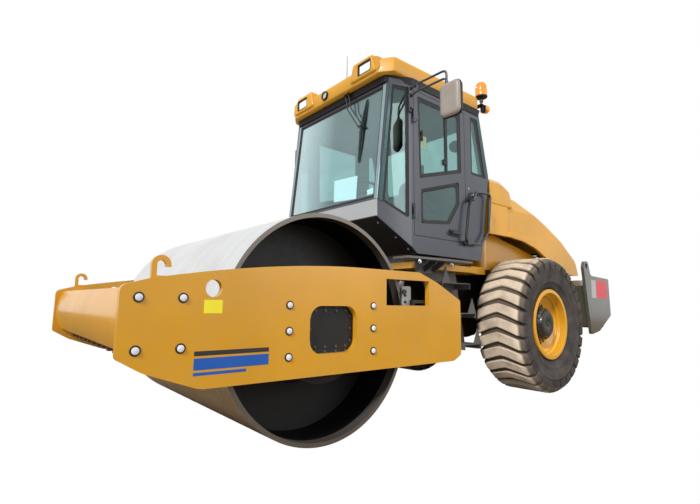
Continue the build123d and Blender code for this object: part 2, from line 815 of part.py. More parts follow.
def rear_plates():
    """Grey side plates of the tail with a lifting eye on each."""
    face = outline(
        [
            (4156, 564, 30),
            (4020, 1400, 30),
            (4060, 1470, 45),
            (4150, 1470, 45),
            (4216, 1294, 60),
            (4770, 1274, 30),
            (REAR_Y, 793, 30),
            (4400, 600, 200),
        ]
    )
    x0 = REAR_PLATE_X - REAR_PLATE_WALL
    plate = along_x(face, x0, REAR_PLATE_X)
    eye = bar_x(LIFT_EYE_RADIUS, x0 - 1, REAR_PLATE_X + 1, 4100, 1410)
    return both_sides(plate - eye)


# Wheels
def tyre_lug():
    """V-shaped tread lug at the wheel's front, its point upward and its shoulders bevelled."""
    half = TYRE_WIDTH / 2 - 2
    reach = (LUG_RISE + LUG_LENGTH) / 2
    top = math.sqrt(TYRE_RADIUS**2 - reach**2)
    shoulder = top - LUG_BEVEL[1]
    root = TYRE_RADIUS - LUG_ROOT
    chevron = outline(
        [
            (0, reach),
            (half, reach - LUG_RISE),
            (half, -reach),
            (0, reach - LUG_LENGTH),
            (-half, -reach),
            (-half, reach - LUG_RISE),
        ]
    )
    section = outline(
        [
            (-half, -root),
            (-half, -shoulder),
            (LUG_BEVEL[0] - half, -top),
            (half - LUG_BEVEL[0], -top),
            (half, -shoulder),
            (half, -root),
        ]
    )
    return along_y(chevron, -top, -root) & along_z(section, -reach, reach)


def gored_ring(sections):
    """Solid about the X axis with flat gores, through polygons given as (x, radius)."""
    faces = [Plane.YZ.offset(x) * RegularPolygon(radius, TYRE_GORES) for x, radius in sections]
    return loft(faces, ruled=True)


def tyre():
    """Left tyre: carcass with bulging walls and a ring of tread lugs fused to it."""
    half = TYRE_WIDTH / 2
    bead = RIM_RADIUS + 12
    groove = TYRE_RADIUS - TYRE_GROOVE
    crown = [(half, bead + 175), (half - 62, groove)]
    carcass = gored_ring([(-x, radius) for x, radius in crown] + crown[::-1])
    hollow = gored_ring([(BEAD_HALF, bead), (half - 20, bead + 75), (half + 1, bead + 178)])
    carcass -= [hollow, mirror_x(hollow)]
    carcass -= along_x(Circle(RIM_SEAT_RADIUS + RIM_WALL), -half, half)
    pitch = 360 / LUG_COUNT
    point_down = math.degrees(math.asin((LUG_RISE + LUG_LENGTH) / 2 / TYRE_RADIUS))
    lugs = [Rot(90 + point_down + turn * pitch, 0, 0) * tyre_lug() for turn in range(LUG_COUNT)]
    return Pos(TYRE_X, WHEEL_Y, WHEEL_Z) * (carcass + lugs)


def rim():
    """Left rim: barrel with a bead ledge, flanges and a deep set disc with hand holes."""
    seat = RIM_SEAT_RADIUS
    flange = RIM_RADIUS
    half = BEAD_HALF + SEAT_GAP
    lip = BEAD_HALF + 28
    disc = TYRE_X + RIM_OFFSET
    ledge = TYRE_X + BEAD_HALF - 40
    corners = [
        (TYRE_X - lip, seat),
        (TYRE_X - lip, flange, 6),
        (TYRE_X - half, flange, 6),
        (TYRE_X - half, seat + RIM_WALL - SEAT_GAP),
        (TYRE_X + half, seat + RIM_WALL - SEAT_GAP),
        (TYRE_X + half, flange, 6),
        (TYRE_X + lip, flange, 6),
        (TYRE_X + lip, seat + 6, 4),
        (ledge, seat, 10),
        (ledge - 12, seat - 12, 8),
        (disc + 45, seat - 14, 30),
        (disc, seat - 85, 50),
        (disc, HUB_RADIUS + SEAT_GAP),
        (disc - RIM_DISC_WALL, HUB_RADIUS + SEAT_GAP),
        (disc - RIM_DISC_WALL, seat - 70, 50),
        (disc - 60, seat, 30),
    ]
    return revolve_x(corners, WHEEL_Y, WHEEL_Z)


def hub():
    """Left planetary hub that turns on the axle's spindle."""
    disc = TYRE_X + RIM_OFFSET
    face_x = disc + HUB_REACH
    spindle_end = TYRE_X + SPINDLE_LENGTH + CLEAR
    neck = HUB_RADIUS - 25
    corners = [
        (HUB_INNER_X, SPINDLE_RADIUS + PIN_FIT),
        (HUB_INNER_X, neck, 10),
        (disc - 60, neck, 10),
        (disc - 60, HUB_RADIUS - 5, 5),
        (disc, HUB_RADIUS),
        (disc + 30, HUB_RADIUS, 6),
        (disc + 38, HUB_RADIUS - 14, 6),
        (face_x - 34, HUB_RADIUS - 22, 12),
        (face_x - 20, HUB_CAP_RADIUS + 8, 6),
        (face_x, HUB_CAP_RADIUS, 10),
        (face_x, 0),
        (spindle_end, 0),
        (spindle_end, SPINDLE_RADIUS + PIN_FIT),
    ]
    return revolve_x(corners, WHEEL_Y, WHEEL_Z)


# Cab
def cab_profile(inset):
    face = outline(
        [
            (CAB_FRONT_Y, CAB_BAND_Z),
            (CAB_FRONT_Y, CAB_SILL_Z),
            (934, CAB_TOP_Z),
            (2235, CAB_TOP_Z),
            (2390, 2290),
            (CAB_REAR_Y, CAB_FLOOR_Z),
            (1220, CAB_FLOOR_Z),
        ]
    )
    return offset(face, -inset, kind=Kind.INTERSECTION) if inset else face


def cab_plan(inset):
    face = outline(
        [
            (-CAB_FRONT_HALF_X, 700),
            (CAB_FRONT_HALF_X, 700),
            (CAB_FRONT_HALF_X, CAB_FRONT_Y),
            (CAB_HALF_X, CAB_CORNER_Y),
            (CAB_HALF_X, 2500),
            (-CAB_HALF_X, 2500),
            (-CAB_HALF_X, CAB_CORNER_Y),
            (-CAB_FRONT_HALF_X, CAB_FRONT_Y),
        ]
    )
    return offset(face, -inset, kind=Kind.INTERSECTION) if inset else face


def cab_body(inset):
    side = along_x(cab_profile(inset), -CAB_HALF_X - 10, CAB_HALF_X + 10)
    plan = along_z(cab_plan(inset), CAB_FLOOR_Z - 10, CAB_TOP_Z + 10)
    return side & plan


def side_prism(corners, side):
    """Cutter through one side wall of the cab, from (y, z) corners."""
    x = sorted((side * (CAB_HALF_X - 160), side * (CAB_HALF_X + 60)))
    return along_x(outline(corners), *x)


def front_prism():
    half = CAB_FRONT_HALF_X - 30
    return block((-half, half), (700, 1050), (CAB_SILL_Z + 25, CAB_TOP_Z - 60))


def rear_prism():
    half = CAB_HALF_X - 80
    return block((-half, half), (2150, 2500), (2290, CAB_TOP_Z - 90))


def corner_prism(side):
    """Cutter for the angled glass between the windscreen and the door pillar."""
    corners = [(865, 1800, 20), (CAB_CORNER_Y - 25, 1665, 20), (CAB_CORNER_Y - 25, 2900, 20), (960, 2900, 20)]
    x = sorted((side * 560, side * (CAB_HALF_X + 60)))
    cut = along_x(outline(corners), *x)
    keep_x = sorted((side * (CAB_FRONT_HALF_X - 2), side * (CAB_HALF_X + 60)))
    return cut & block(keep_x, (700, 1300), (1500, 3000))


DOOR_UPPER = [
    (1262, 2060, 15),
    (1900, 2235, 15),
    (1900, 2850, 15),
    (1240, 2850, 15),
]
DOOR_LOWER = [
    (1279, 1640, 20),
    (1279, 1960, 20),
    (1860, 2130, 20),
    (1860, 1900, 40),
    (1700, 1680, 60),
]
REAR_QUARTER = [
    (2075, 2255, 15),
    (2075, 2880, 15),
    (2190, 2880, 15),
    (2320, 2300, 15),
    (2320, 2255, 15),
]


def door_prism(margin):
    y = (DOOR_Y[0] - margin, DOOR_Y[1] + margin)
    z = (DOOR_Z[0] - margin, DOOR_Z[1] + margin)
    return block((CAB_HALF_X - CAB_WALL - 1, CAB_HALF_X + 60), y, z)


def hinge_on_cab(z):
    """Pin of a door hinge with the two knuckles that hold it to the pillar."""
    x, y = DOOR_HINGE_X, DOOR_HINGE_Y
    hinge = bar_z(HINGE_PIN_RADIUS, x, y, z - 70, z + 70)
    for low, high in ((z - 70, z - 31), (z + 31, z + 70)):
        hinge += bar_z(HINGE_RADIUS, x, y, low, high)
        hinge += block((CAB_HALF_X - 10, x), (y - HINGE_RADIUS, y), (low, high))
    return hinge


def hinge_on_door(z):
    """Middle knuckle of a door hinge with its leaf."""
    x, y = DOOR_HINGE_X, DOOR_HINGE_Y
    knuckle = bar_z(HINGE_RADIUS, x, y, z - 30, z + 30)
    leaf = block((CAB_HALF_X, CAB_HALF_X + 8), (y + 4, y + 70), (z - 30, z + 30))
    arm = block((CAB_HALF_X, x + 4), (y + 4, y + HINGE_RADIUS), (z - 30, z + 30))
    return knuckle + leaf + arm - bar_z(HINGE_PIN_RADIUS + PIN_FIT, x, y, z - 31, z + 31)


def cab_shell():
    """Hollow welded cab with its window and door openings cut through the walls."""
    shell = cab_body(0) - cab_body(CAB_WALL)
    shell -= front_prism()
    shell -= rear_prism()
    shell -= door_prism(CLEAR)
    shell -= side_prism(DOOR_UPPER, -1)
    for side in (-1, 1):
        shell -= side_prism(REAR_QUARTER, side)
        shell -= corner_prism(side)
    for z in DOOR_HINGE_Z:
        shell += hinge_on_cab(z)
    return shell


def glass_skin():
    return cab_body(GLASS_INSET) - cab_body(GLASS_INSET + GLASS_WALL)


def windscreen():
    return glass_skin() & front_prism()


def rear_glass():
    return glass_skin() & rear_prism()


def side_glass():
    skin = glass_skin()
    panes = [skin & side_prism(DOOR_UPPER, -1)]
    for side in (-1, 1):
        panes.append(skin & side_prism(REAR_QUARTER, side))
        panes.append(skin & corner_prism(side))
    return panes


def door_frame():
    """Left door, as thick as the wall, with its two windows cut."""
    door = (cab_body(0) - cab_body(CAB_WALL)) & door_prism(0)
    door -= side_prism(DOOR_UPPER, 1)
    door -= side_prism(DOOR_LOWER, 1)
    for z in DOOR_HINGE_Z:
        door += hinge_on_door(z)
    return door


def door_glass():
    skin = glass_skin()
    return [skin & side_prism(DOOR_UPPER, 1), skin & side_prism(DOOR_LOWER, 1)]


def door_handle():
    z = 1600.0
    plate = block((CAB_HALF_X + SEAT_GAP, CAB_HALF_X + 14), (1690, 1850), (z - 30, z + 30))
    grip = block((CAB_HALF_X + 14, CAB_HALF_X + 40), (1700, 1720), (z - 15, z + 15))
    bar = block((CAB_HALF_X + 30, CAB_HALF_X + 42), (1700, 1840), (z - 12, z + 12))
    return plate + grip + bar


def roof_plan(inset):
    """Roof outline seen from above, with large bevelled corners."""
    x = ROOF_HALF_X - inset
    y0 = ROOF_Y[0] + inset
    y1 = ROOF_Y[1] - inset
    front, rear = ROOF_BEVEL
    corners = [
        (x - front, y0, 50),
        (x, y0 + front, 50),
        (x, y1 - rear, 40),
        (x - rear, y1, 40),
        (rear - x, y1, 40),
        (-x, y1 - rear, 40),
        (-x, y0 + front, 50),
        (front - x, y0, 50),
    ]
    return outline(corners)


def lamp_pod(side):
    """Raised pod on a front corner of the roof that runs back into its crown."""
    y0 = ROOF_Y[0] - POD_REACH
    top = ROOF_Z[1] + POD_RISE
    low = ROOF_SKIRT_Z[1]
    profile = outline(
        [
            (y0 + 12, low),
            (y0, low + 30),
            (y0 + 8, top - 22, 14),
            (y0 + 60, top, 25),
            (y0 + POD_LENGTH, ROOF_Z[1] - 6),
            (y0 + POD_LENGTH, low),
        ]
    )
    half = LAMP_SIZE[0] / 2
    section = outline(
        [
            (LAMP_X - half - 75, low - 1),
            (LAMP_X - half - 28, top + 1, 20),
            (LAMP_X + half + 28, top + 1, 20),
            (LAMP_X + half + 62, low - 1),
        ]
    )
    pod = along_x(profile, LAMP_X - LAMP_SIZE[0], LAMP_X + LAMP_SIZE[0])
    pod = pod & along_y(section, y0 - 1, y0 + POD_LENGTH + 1)
    return pod if side > 0 else mirror_x(pod)


def lamp_pocket(side, margin):
    """Block of a roof lamp, grown by a margin, from ahead of the pod to the pocket's floor."""
    half = LAMP_SIZE[0] / 2 + margin
    x = (side * LAMP_X - half, side * LAMP_X + half)
    y = (ROOF_Y[0] - POD_REACH - 20, ROOF_Y[0] + LAMP_DEPTH + margin)
    z = (LAMP_Z - LAMP_SIZE[1] / 2 - margin, LAMP_Z + LAMP_SIZE[1] / 2 + margin)
    return block(x, y, z)


def roof():
    """Moulded roof: a vertical skirt, sloped sides and a crown, with two lamp pods."""
    low, skirt = ROOF_SKIRT_Z
    crown = ROOF_Z[1]
    levels = [
        (low, ROOF_TUCK),
        (low + ROOF_TUCK, 0),
        (skirt, 0),
        (crown - ROOF_CROWN, ROOF_SLOPE),
        (crown, 3 * ROOF_SLOPE),
    ]
    body = loft([Pos(0, 0, z) * roof_plan(inset) for z, inset in levels], ruled=True)
    for side in (-1, 1):
        body += lamp_pod(side)
    for side in (-1, 1):
        body -= lamp_pocket(side, 0)
    return body - cab_body(-SEAT_GAP)


def roof_lamps():
    """Black lamp housings in the pods, each with a sloped reflector recess at its front."""
    solids = []
    face_y = ROOF_Y[0] - POD_REACH + 16
    for side in (-1, 1):
        housing = lamp_pocket(side, -SEAT_GAP)
        housing &= block((-ROOF_HALF_X, ROOF_HALF_X), (face_y, ROOF_Y[1]), (0, 2 * LAMP_Z))
        front = Plane(origin=(side * LAMP_X, face_y, LAMP_Z), x_dir=(1, 0, 0), z_dir=(0, 1, 0))
        mouth = front * Rectangle(LAMP_SIZE[0] - 2 * LAMP_BEZEL, LAMP_SIZE[1] - 2 * LAMP_BEZEL)
        housing -= extrude(mouth, amount=LAMP_DEPTH / 2, taper=12)
        solids.append(housing)
    return solids


def beacon():
    """Ribbed warning light on a stem and a bracket at the roof's rear left corner."""
    x, y = BEACON_SPOT
    skirt = ROOF_SKIRT_Z[1]
    dome_z = skirt + BEACON_STEM
    corners = [
        (0, dome_z),
        (BEACON_RADIUS, dome_z),
        (BEACON_RADIUS, dome_z + 28, 6),
        (BEACON_RADIUS - 7, dome_z + 34),
        (BEACON_RADIUS - 9, dome_z + 115, 40),
        (0, dome_z + 150),
    ]
    dome = Pos(x, y, 0) * revolve(Plane.XZ * outline(corners), Axis.Z)
    ribs = PolarLocations(BEACON_RADIUS - 8, BEACON_RIBS)
    for rib in ribs:
        spot = rib.position
        dome += bar_z(5, x + spot.X, y + spot.Y, dome_z + 20, dome_z + 95)
    stem = bar_z(12, x, y, skirt - 40, dome_z)
    plate = block((x - 150, x + 25), (y - 110, y + 35), (skirt - 46, skirt - 40))
    lamp_y = y + 35
    rear_lamp = bar_y(42, x - 20, lamp_y, lamp_y + 45, skirt - 70)
    arm = block((x - 30, x - 10), (y + 10, lamp_y), (skirt - 100, skirt - 40))
    return dome + stem + (plate - roof()) + rear_lamp + arm


def mirror_case(side):
    """Rounded housing with the glass side to the rear sunk into its rim."""
    width, depth, height = MIRROR_SIZE
    centre = (side * (MIRROR_ARM_X + MIRROR_SHIFT), MIRROR_Y, MIRROR_BODY_Z - height / 2 + 30)
    case = Box(width, depth, height)
    case = fillet(case.edges().filter_by(Axis.Y), 45)
    case = fillet(case.faces().sort_by(Axis.Y)[0].edges(), 18)
    sunk = RectangleRounded(width - 24, height - 24, 34)
    rear = Plane(origin=(0, depth / 2, 0), x_dir=(1, 0, 0), z_dir=(0, -1, 0))
    case -= extrude(rear * sunk, amount=10)
    return Pos(*centre) * case


def mirrors():
    """Mirrors on double bent tubes with a brace, clamped to the door pillars."""
    solids = []
    pillar = CAB_HALF_X - 20
    for side in (-1, 1):
        arm = None
        for z, drop in ((MIRROR_TUBE_Z[1], MIRROR_TUBE_Z[0]), (MIRROR_TUBE_Z[0], MIRROR_BODY_Z)):
            rise = z + MIRROR_TUBE_RISE
            tube = tube_path(
                [
                    (side * pillar, MIRROR_Y, z),
                    (side * (CAB_HALF_X + 70), MIRROR_Y, rise),
                    (side * MIRROR_ARM_X, MIRROR_Y, rise),
                    (side * MIRROR_ARM_X, MIRROR_Y, drop),
                ],
                30,
                MIRROR_TUBE_RADIUS,
            )
            arm = tube if arm is None else arm + tube
        brace_x = side * (CAB_HALF_X + 115)
        brace_z = [z + MIRROR_TUBE_RISE for z in MIRROR_TUBE_Z]
        arm += bar_z(MIRROR_TUBE_RADIUS - 3, brace_x, MIRROR_Y, *brace_z)
        arm -= cab_body(-SEAT_GAP)
        solids.append(arm + mirror_case(side))
    return solids


def grab_rails():
    """Bent rails that stand off the cab's rear corners, each on two clamp feet."""
    solids = []
    top, bottom = GRAB_FEET
    for side in (-1, 1):
        x = side * (CAB_HALF_X + GRAB_STAND_OFF)
        foot = side * (CAB_HALF_X + SEAT_GAP)
        rail = tube_path(
            [
                (x, *top),
                (x, top[0] + 60, top[1] + 85),
                (x, GRAB_REAR_Y + 40, top[1] + 105),
                (x, GRAB_REAR_Y - 20, bottom[1] + 150),
                (x, GRAB_REAR_Y - 160, bottom[1]),
                (x, bottom[0], bottom[1]),
            ],
            45,
            GRAB_RADIUS,
        )
        for y, z in GRAB_FEET:
            ends = sorted((foot, x + side * GRAB_RADIUS))
            rail += bar_x(GRAB_RADIUS + 5, *ends, y, z)
        solids.append(rail)
    return solids


def seat():
    """Suspended operator's seat: base, cushion, back, headrest and arm rests."""
    floor = CAB_FLOOR_Z + CAB_WALL
    base = block((-180, 180), (1770, 2040), (floor, SEAT_Z + 1))
    cushion = outline(
        [
            (1630, SEAT_Z, 30),
            (1620, SEAT_Z + 100, 40),
            (2100, SEAT_Z + 130, 20),
            (2100, SEAT_Z, 20),
        ]
    )
    back = outline(
        [
            (2020, SEAT_Z + 60, 20),
            (2060, SEAT_Z + 620, 30),
            (2130, SEAT_Z + 620, 30),
            (2160, SEAT_Z + 60, 30),
        ]
    )
    rest = outline(
        [
            (2080, SEAT_Z + 600, 10),
            (2075, SEAT_Z + 800, 30),
            (2145, SEAT_Z + 800, 30),
            (2140, SEAT_Z + 600, 10),
        ]
    )
    arm = outline(
        [
            (1710, SEAT_Z + 235, 20),
            (1710, SEAT_Z + 290, 20),
            (2110, SEAT_Z + 290, 20),
            (2110, SEAT_Z + 235, 20),
        ]
    )
    body = base + along_x(cushion, -250, 250) + along_x(back, -232, 232) + along_x(rest, -130, 130)
    for side in (-1, 1):
        body += along_x(arm, *sorted((side * 255, side * 325)))
        body += block(sorted((side * 210, side * 260)), (2062, 2100), (SEAT_Z + 240, SEAT_Z + 280))
    return body


def console():
    """Steering column with a hooded instrument panel."""
    floor = CAB_FLOOR_Z + CAB_WALL
    column = outline(
        [
            (1250, floor),
            (1290, DASH_Z - 60, 40),
            (1400, DASH_Z - 60, 30),
            (1410, floor),
        ]
    )
    dash = outline(
        [
            (1190, DASH_Z - 80, 20),
            (1175, DASH_Z + 60, 25),
            (1260, DASH_Z + 100, 20),
            (1385, DASH_Z + 10, 10),
            (1385, DASH_Z - 80, 20),
        ]
    )
    return along_x(column, -75, 75) + along_x(dash, -190, 190)


def steering_wheel():
    """Rim, hub, three spokes and the shaft that stands in the console."""
    wheel = Torus(WHEEL_RIM_RADIUS, 14) + Cylinder(42, 50)
    for turn in (90, 210, 330):
        wheel += Rot(0, 0, turn) * Pos(WHEEL_RIM_RADIUS / 2, 0, 0) * Box(WHEEL_RIM_RADIUS, 26, 10)
    wheel += Pos(0, 0, -80) * Cylinder(20, 160)
    return Pos(0, 1400, DASH_Z + 165) * Rot(-25, 0, 0) * wheel - console()


# Hood
def hood_box(inset):
    """Taller box behind the cab that the hood's crown steps down from."""
    side = outline(
        [
            (HOOD_FRONT_Y, HOOD_LOW_Z),
            (HOOD_FRONT_Y + 5, HOOD_BOX_Z),
            (HOOD_FRONT_Y + 190, HOOD_BOX_Z - 12, 60),
            (HOOD_STEP_Y, HOOD_BOX_Z - 62),
            (HOOD_STEP_Y, HOOD_LOW_Z),
        ]
    )
    half = HOOD_HALF_X
    section = outline(
        [
            (-half, HOOD_LOW_Z),
            (-half, HOOD_BOX_Z - 250, 40),
            (-half + 60, HOOD_BOX_Z - 110, 40),
            (-half + 210, HOOD_BOX_Z + 12, 60),
            (half - 210, HOOD_BOX_Z + 12, 60),
            (half - 60, HOOD_BOX_Z - 110, 40),
            (half, HOOD_BOX_Z - 250, 40),
            (half, HOOD_LOW_Z),
        ]
    )
    if inset:
        side = offset(side, -inset, kind=Kind.INTERSECTION)
        section = offset(section, -inset, kind=Kind.INTERSECTION)
    return along_x(side, -half, half) & along_y(section, HOOD_FRONT_Y - 40, HOOD_STEP_Y + 40)


def hood_core(inset):
    """Main cover: a crown that falls in one curve to the tail, with rounded shoulders."""
    start = HOOD_STEP_Y - 3 * HOOD_WALL
    side = outline(
        [
            (start, HOOD_LOW_Z),
            (start, HOOD_BOX_Z - 80),
            (3139, 2145, 900),
            (3773, 1925, 900),
            (4179, 1758, 700),
            (HOOD_TAIL_Y - 78, 1512, 120),
            (HOOD_TAIL_Y, 1327),
            (HOOD_TAIL_Y, HOOD_LOW_Z),
        ]
    )
    half = HOOD_HALF_X - HOOD_TUCK
    shoulder = HOOD_BOX_Z - 300
    section = outline(
        [
            (-half, HOOD_LOW_Z),
            (-half, shoulder, 80),
            (-half + 55, shoulder + 170, 80),
            (-half + 200, HOOD_BOX_Z, 80),
            (half - 200, HOOD_BOX_Z, 80),
            (half - 55, shoulder + 170, 80),
            (half, shoulder, 80),
            (half, HOOD_LOW_Z),
        ]
    )
    if inset:
        side = offset(side, -inset, kind=Kind.INTERSECTION)
        section = offset(section, -inset, kind=Kind.INTERSECTION)
    return along_x(side, -half, half) & along_y(section, start - 40, HOOD_TAIL_Y + 40)


def hood_flare(inset):
    """Bulges over the wheels with bevelled upper edges, one on each side."""
    face = outline(
        [
            (HOOD_STEP_Y - 60, HOOD_LOW_Z),
            (HOOD_STEP_Y - 60, 1800, 80),
            (3340, 1755, 500),
            (3800, 1600, 400),
            (4180, 1440, 200),
            (4330, 1300),
            (4330, HOOD_LOW_Z),
        ]
    )
    if inset:
        face = offset(face, -inset, kind=Kind.INTERSECTION)
    start = HOOD_HALF_X - HOOD_TUCK - 2 * HOOD_WALL
    reach = HOOD_HALF_X + HOOD_FLARE - inset - start
    flare = extrude(Plane.YZ.offset(start) * face, amount=reach, taper=HOOD_FLARE_TAPER)
    return flare + mirror_x(flare)


def hood_body(inset):
    """Closed form of the hood down to below its edge, shrunk by an inset."""
    return hood_box(inset) + hood_core(inset) + hood_flare(inset)


def below_hood():
    """Everything under the hood's lower edge, with the arches over the wheels."""
    front = HOOD_FRONT_Y - 80
    rear = HOOD_TAIL_Y + 40
    face = outline(
        [
            (front, HOOD_LOW_Z - 200),
            (front, 1685),
            (2838, 1686, 200),
            (3174, 1660, 300),
            (3459, 1599, 300),
            (3837, 1448, 200),
            (4162, 1320, 60),
            (rear, 1327),
            (rear, HOOD_LOW_Z - 200),
        ]
    )
    half = HOOD_HALF_X + HOOD_FLARE + 10
    return along_x(face, -half, half)


def grille_prism():
    return block((-GRILLE_HALF_X, GRILLE_HALF_X), (HOOD_TAIL_Y - 488, HOOD_TAIL_Y + 32), GRILLE_Z)


def hood():
    """One moulded cover over the engine, open below, with its two hinge eyes at the tail."""
    cover = hood_body(0) - hood_body(HOOD_WALL)
    cover = cover - below_hood() - grille_prism()
    for x in HOOD_HINGE_X:
        for side in (-1, 1):
            eye_x = sorted((side * (x + 10.5), side * (x + 28)))
            cover += bar_x(25, *eye_x, HOOD_HINGE_Y, HOOD_HINGE_Z)
            cover += block(eye_x, (HOOD_HINGE_Y - 12, HOOD_HINGE_Y + 34), (HOOD_HINGE_Z, HOOD_HINGE_Z + 70))
            cover -= bar_x(HOOD_PIN_RADIUS + PIN_FIT, *eye_x, HOOD_HINGE_Y, HOOD_HINGE_Z)
    return cover


def rear_grille():
    """Slatted vent panel of the hood's tail."""
    panel = (hood_body(6) - hood_body(24)) & grille_prism()
    pitch = (GRILLE_Z[1] - GRILLE_Z[0] - 24) / GRILLE_SLOTS
    half = GRILLE_HALF_X - 30
    for row in range(GRILLE_SLOTS):
        z = GRILLE_Z[0] + 18 + row * pitch
        panel -= block((-half, half), (HOOD_TAIL_Y - 568, HOOD_TAIL_Y + 32), (z, z + pitch / 2))
    return panel


def hood_hinge_pins():
    """Lugs on the tail with the pins that the hood turns on."""
    solids = None
    lug_head = Pos(HOOD_HINGE_Y, HOOD_HINGE_Z) * Circle(HOOD_LUG_RADIUS)
    lug_foot = Pos(HOOD_HINGE_Y - 55, BUMPER_TOP_Z + 5) * Rectangle(50, 10)
    for x in HOOD_HINGE_X:
        for side in (-1, 1):
            lug_x = sorted((side * (x - 10), side * (x + 10)))
            pin_x = sorted((side * (x - 10), side * (x + 34)))
            lug = along_x(make_hull(lug_foot.edges() + lug_head.edges()), *lug_x)
            lug += bar_x(HOOD_PIN_RADIUS, *pin_x, HOOD_HINGE_Y, HOOD_HINGE_Z)
            solids = lug if solids is None else solids + lug
    return solids


NODES = {
    "drum_shell": drum_shell,
    "drum_heads": drum_heads,
    "side_plate_left": side_plate,
    "side_plate_right": lambda: mirror_x(side_plate()),
    "front_beam": front_beam,
    "rear_beam": rear_beam,
    "scraper_front": scraper_front,
    "scraper_rear": scraper_rear,
    "drum_carriers": drum_carriers,
    "rubber_buffers": rubber_buffers,
    "drum_motors": drum_motors,
    "centre_yoke": yoke,
    "steering_barrel_left": lambda: steering_barrel(1),
    "steering_barrel_right": lambda: steering_barrel(-1),
    "steering_rod_left": lambda: steering_rod(1),
    "steering_rod_right": lambda: steering_rod(-1),
    "rear_chassis": rear_chassis,
    "deck": deck,
    "cab_mounts": cab_mounts,
    "engine_block": engine_block,
    "radiator": radiator,
    "rear_axle": rear_axle,
    "inner_fenders": inner_fenders,
    "platform": platform,
    "steps": steps,
    "rear_bumper": rear_bumper,
    "rear_plates": rear_plates,
    "tyre_left": tyre,
    "tyre_right": lambda: mirror_x(tyre()),
    "rim_left": rim,
    "rim_right": lambda: mirror_x(rim()),
    "hub_left": hub,
    "hub_right": lambda: mirror_x(hub()),
    "cab_shell": cab_shell,
    "windscreen": windscreen,
    "rear_glass": rear_glass,
    "side_glass": side_glass,
    "door_frame": door_frame,
    "door_glass": door_glass,
    "door_handle": door_handle,
    "roof": roof,
    "roof_lamps": roof_lamps,
    "beacon": beacon,
    "mirrors": mirrors,
    "grab_rails": grab_rails,
    "seat": seat,
    "console": console,
    "steering_wheel": steering_wheel,
    "hood": hood,
    "rear_grille": rear_grille,
}


def solids_of(shape):
    """All solids of a shape or of a list of shapes."""
    shapes = shape if isinstance(shape, (list, tuple)) else [shape]
    solids = []
    for item in shapes:
        solids += item.solids()
    return solids


os.makedirs("parts", exist_ok=True)
for name, make in NODES.items():
    placed = [Pos(0, -MIDDLE_Y, 0) * solid for solid in solids_of(make())]
    whole = placed[0] if len(placed) == 1 else Compound(children=placed)
    whole.label = name
    export_step(whole, f"parts/{name}.step")
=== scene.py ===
import bpy
import bmesh
import json
import math
from mathutils import Matrix, Vector


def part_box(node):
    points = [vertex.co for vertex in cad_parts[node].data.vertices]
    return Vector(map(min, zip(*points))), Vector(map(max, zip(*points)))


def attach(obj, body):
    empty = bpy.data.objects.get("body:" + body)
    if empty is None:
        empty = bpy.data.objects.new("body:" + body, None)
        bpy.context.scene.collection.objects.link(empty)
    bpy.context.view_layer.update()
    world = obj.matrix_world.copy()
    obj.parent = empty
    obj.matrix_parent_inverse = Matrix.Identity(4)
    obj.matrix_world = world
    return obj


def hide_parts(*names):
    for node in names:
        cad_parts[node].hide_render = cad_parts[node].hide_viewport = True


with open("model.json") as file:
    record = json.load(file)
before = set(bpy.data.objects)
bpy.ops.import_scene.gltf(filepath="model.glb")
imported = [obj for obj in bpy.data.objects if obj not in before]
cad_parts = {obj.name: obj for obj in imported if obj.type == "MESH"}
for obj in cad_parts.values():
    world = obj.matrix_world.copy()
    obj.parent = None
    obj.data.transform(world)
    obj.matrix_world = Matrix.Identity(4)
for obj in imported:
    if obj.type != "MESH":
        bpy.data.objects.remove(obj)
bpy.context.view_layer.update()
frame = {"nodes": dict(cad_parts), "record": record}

# Camera of the photograph, fitted to the machine's own sizes
CAMERA_PLACE = (3.405, -3.549, 0.915)
CAMERA_AZIMUTH = 51.496
CAMERA_PITCH = 7.26
CAMERA_ROLL = 0.851
CAMERA_LENS = 22.651
CAMERA_SHIFT = (0.02238, -0.00862)

# Places that the CAD source also holds, in metres
MIDDLE_Y = 1.745
DRUM_Y = -MIDDLE_Y
DRUM_Z = 0.755
DRUM_RADIUS = 0.755
WHEEL_Y = 3.010 - MIDDLE_Y
WHEEL_Z = 0.715
TYRE_X = 0.895
PLATE_X = 1.150
CAB_X = 0.800
GLASS_X = 0.788
RAIL_X = 0.845
TAIL_X = 1.065

# Outer face of the windscreen: its foot, with y from the drum's axis, and the parts of its slope
SCREEN_FOOT_Y = 0.823
SCREEN_FOOT_Z = 1.810
SCREEN_RISE = 0.9943
SCREEN_LEAN = 0.1063

# Places of the added pieces, in metres, with y from the drum's axis; side 1 is left and -1 is right
CORNER_POST_Y = 1.150
ROOF_FRONT_Y = 0.840
ROOF_REAR_Y = 2.310
ROOF_HALF_X = 0.802
LAMP_X = 0.512
LAMP_Z = 3.108
CONSOLE_FOOT_Z = 1.4055
MIRROR_X = {1: 1.250, -1: 0.925}
MIRROR_Y = 1.140
MIRROR_Z = 2.625
MIRROR_HALF = (0.100, 0.150)
MIRROR_TURN = {1: 0.0, -1: 55.0}
UPPER_ARM_Z = 2.885
LOWER_ARM_Z = 2.815

# Gaps between a solid's face and the piece or the film that lies on it
SKIN_GAP = 0.0005
FILM_GAP = 0.0002


# Materials
def srgb(red, green, blue):
    """Linear colour from 0 to 255 display values."""
    out = []
    for value in (red, green, blue):
        value = value / 255
        out.append(value / 12.92 if value <= 0.04045 else ((value + 0.055) / 1.055) ** 2.4)
    return tuple(out) + (1.0,)


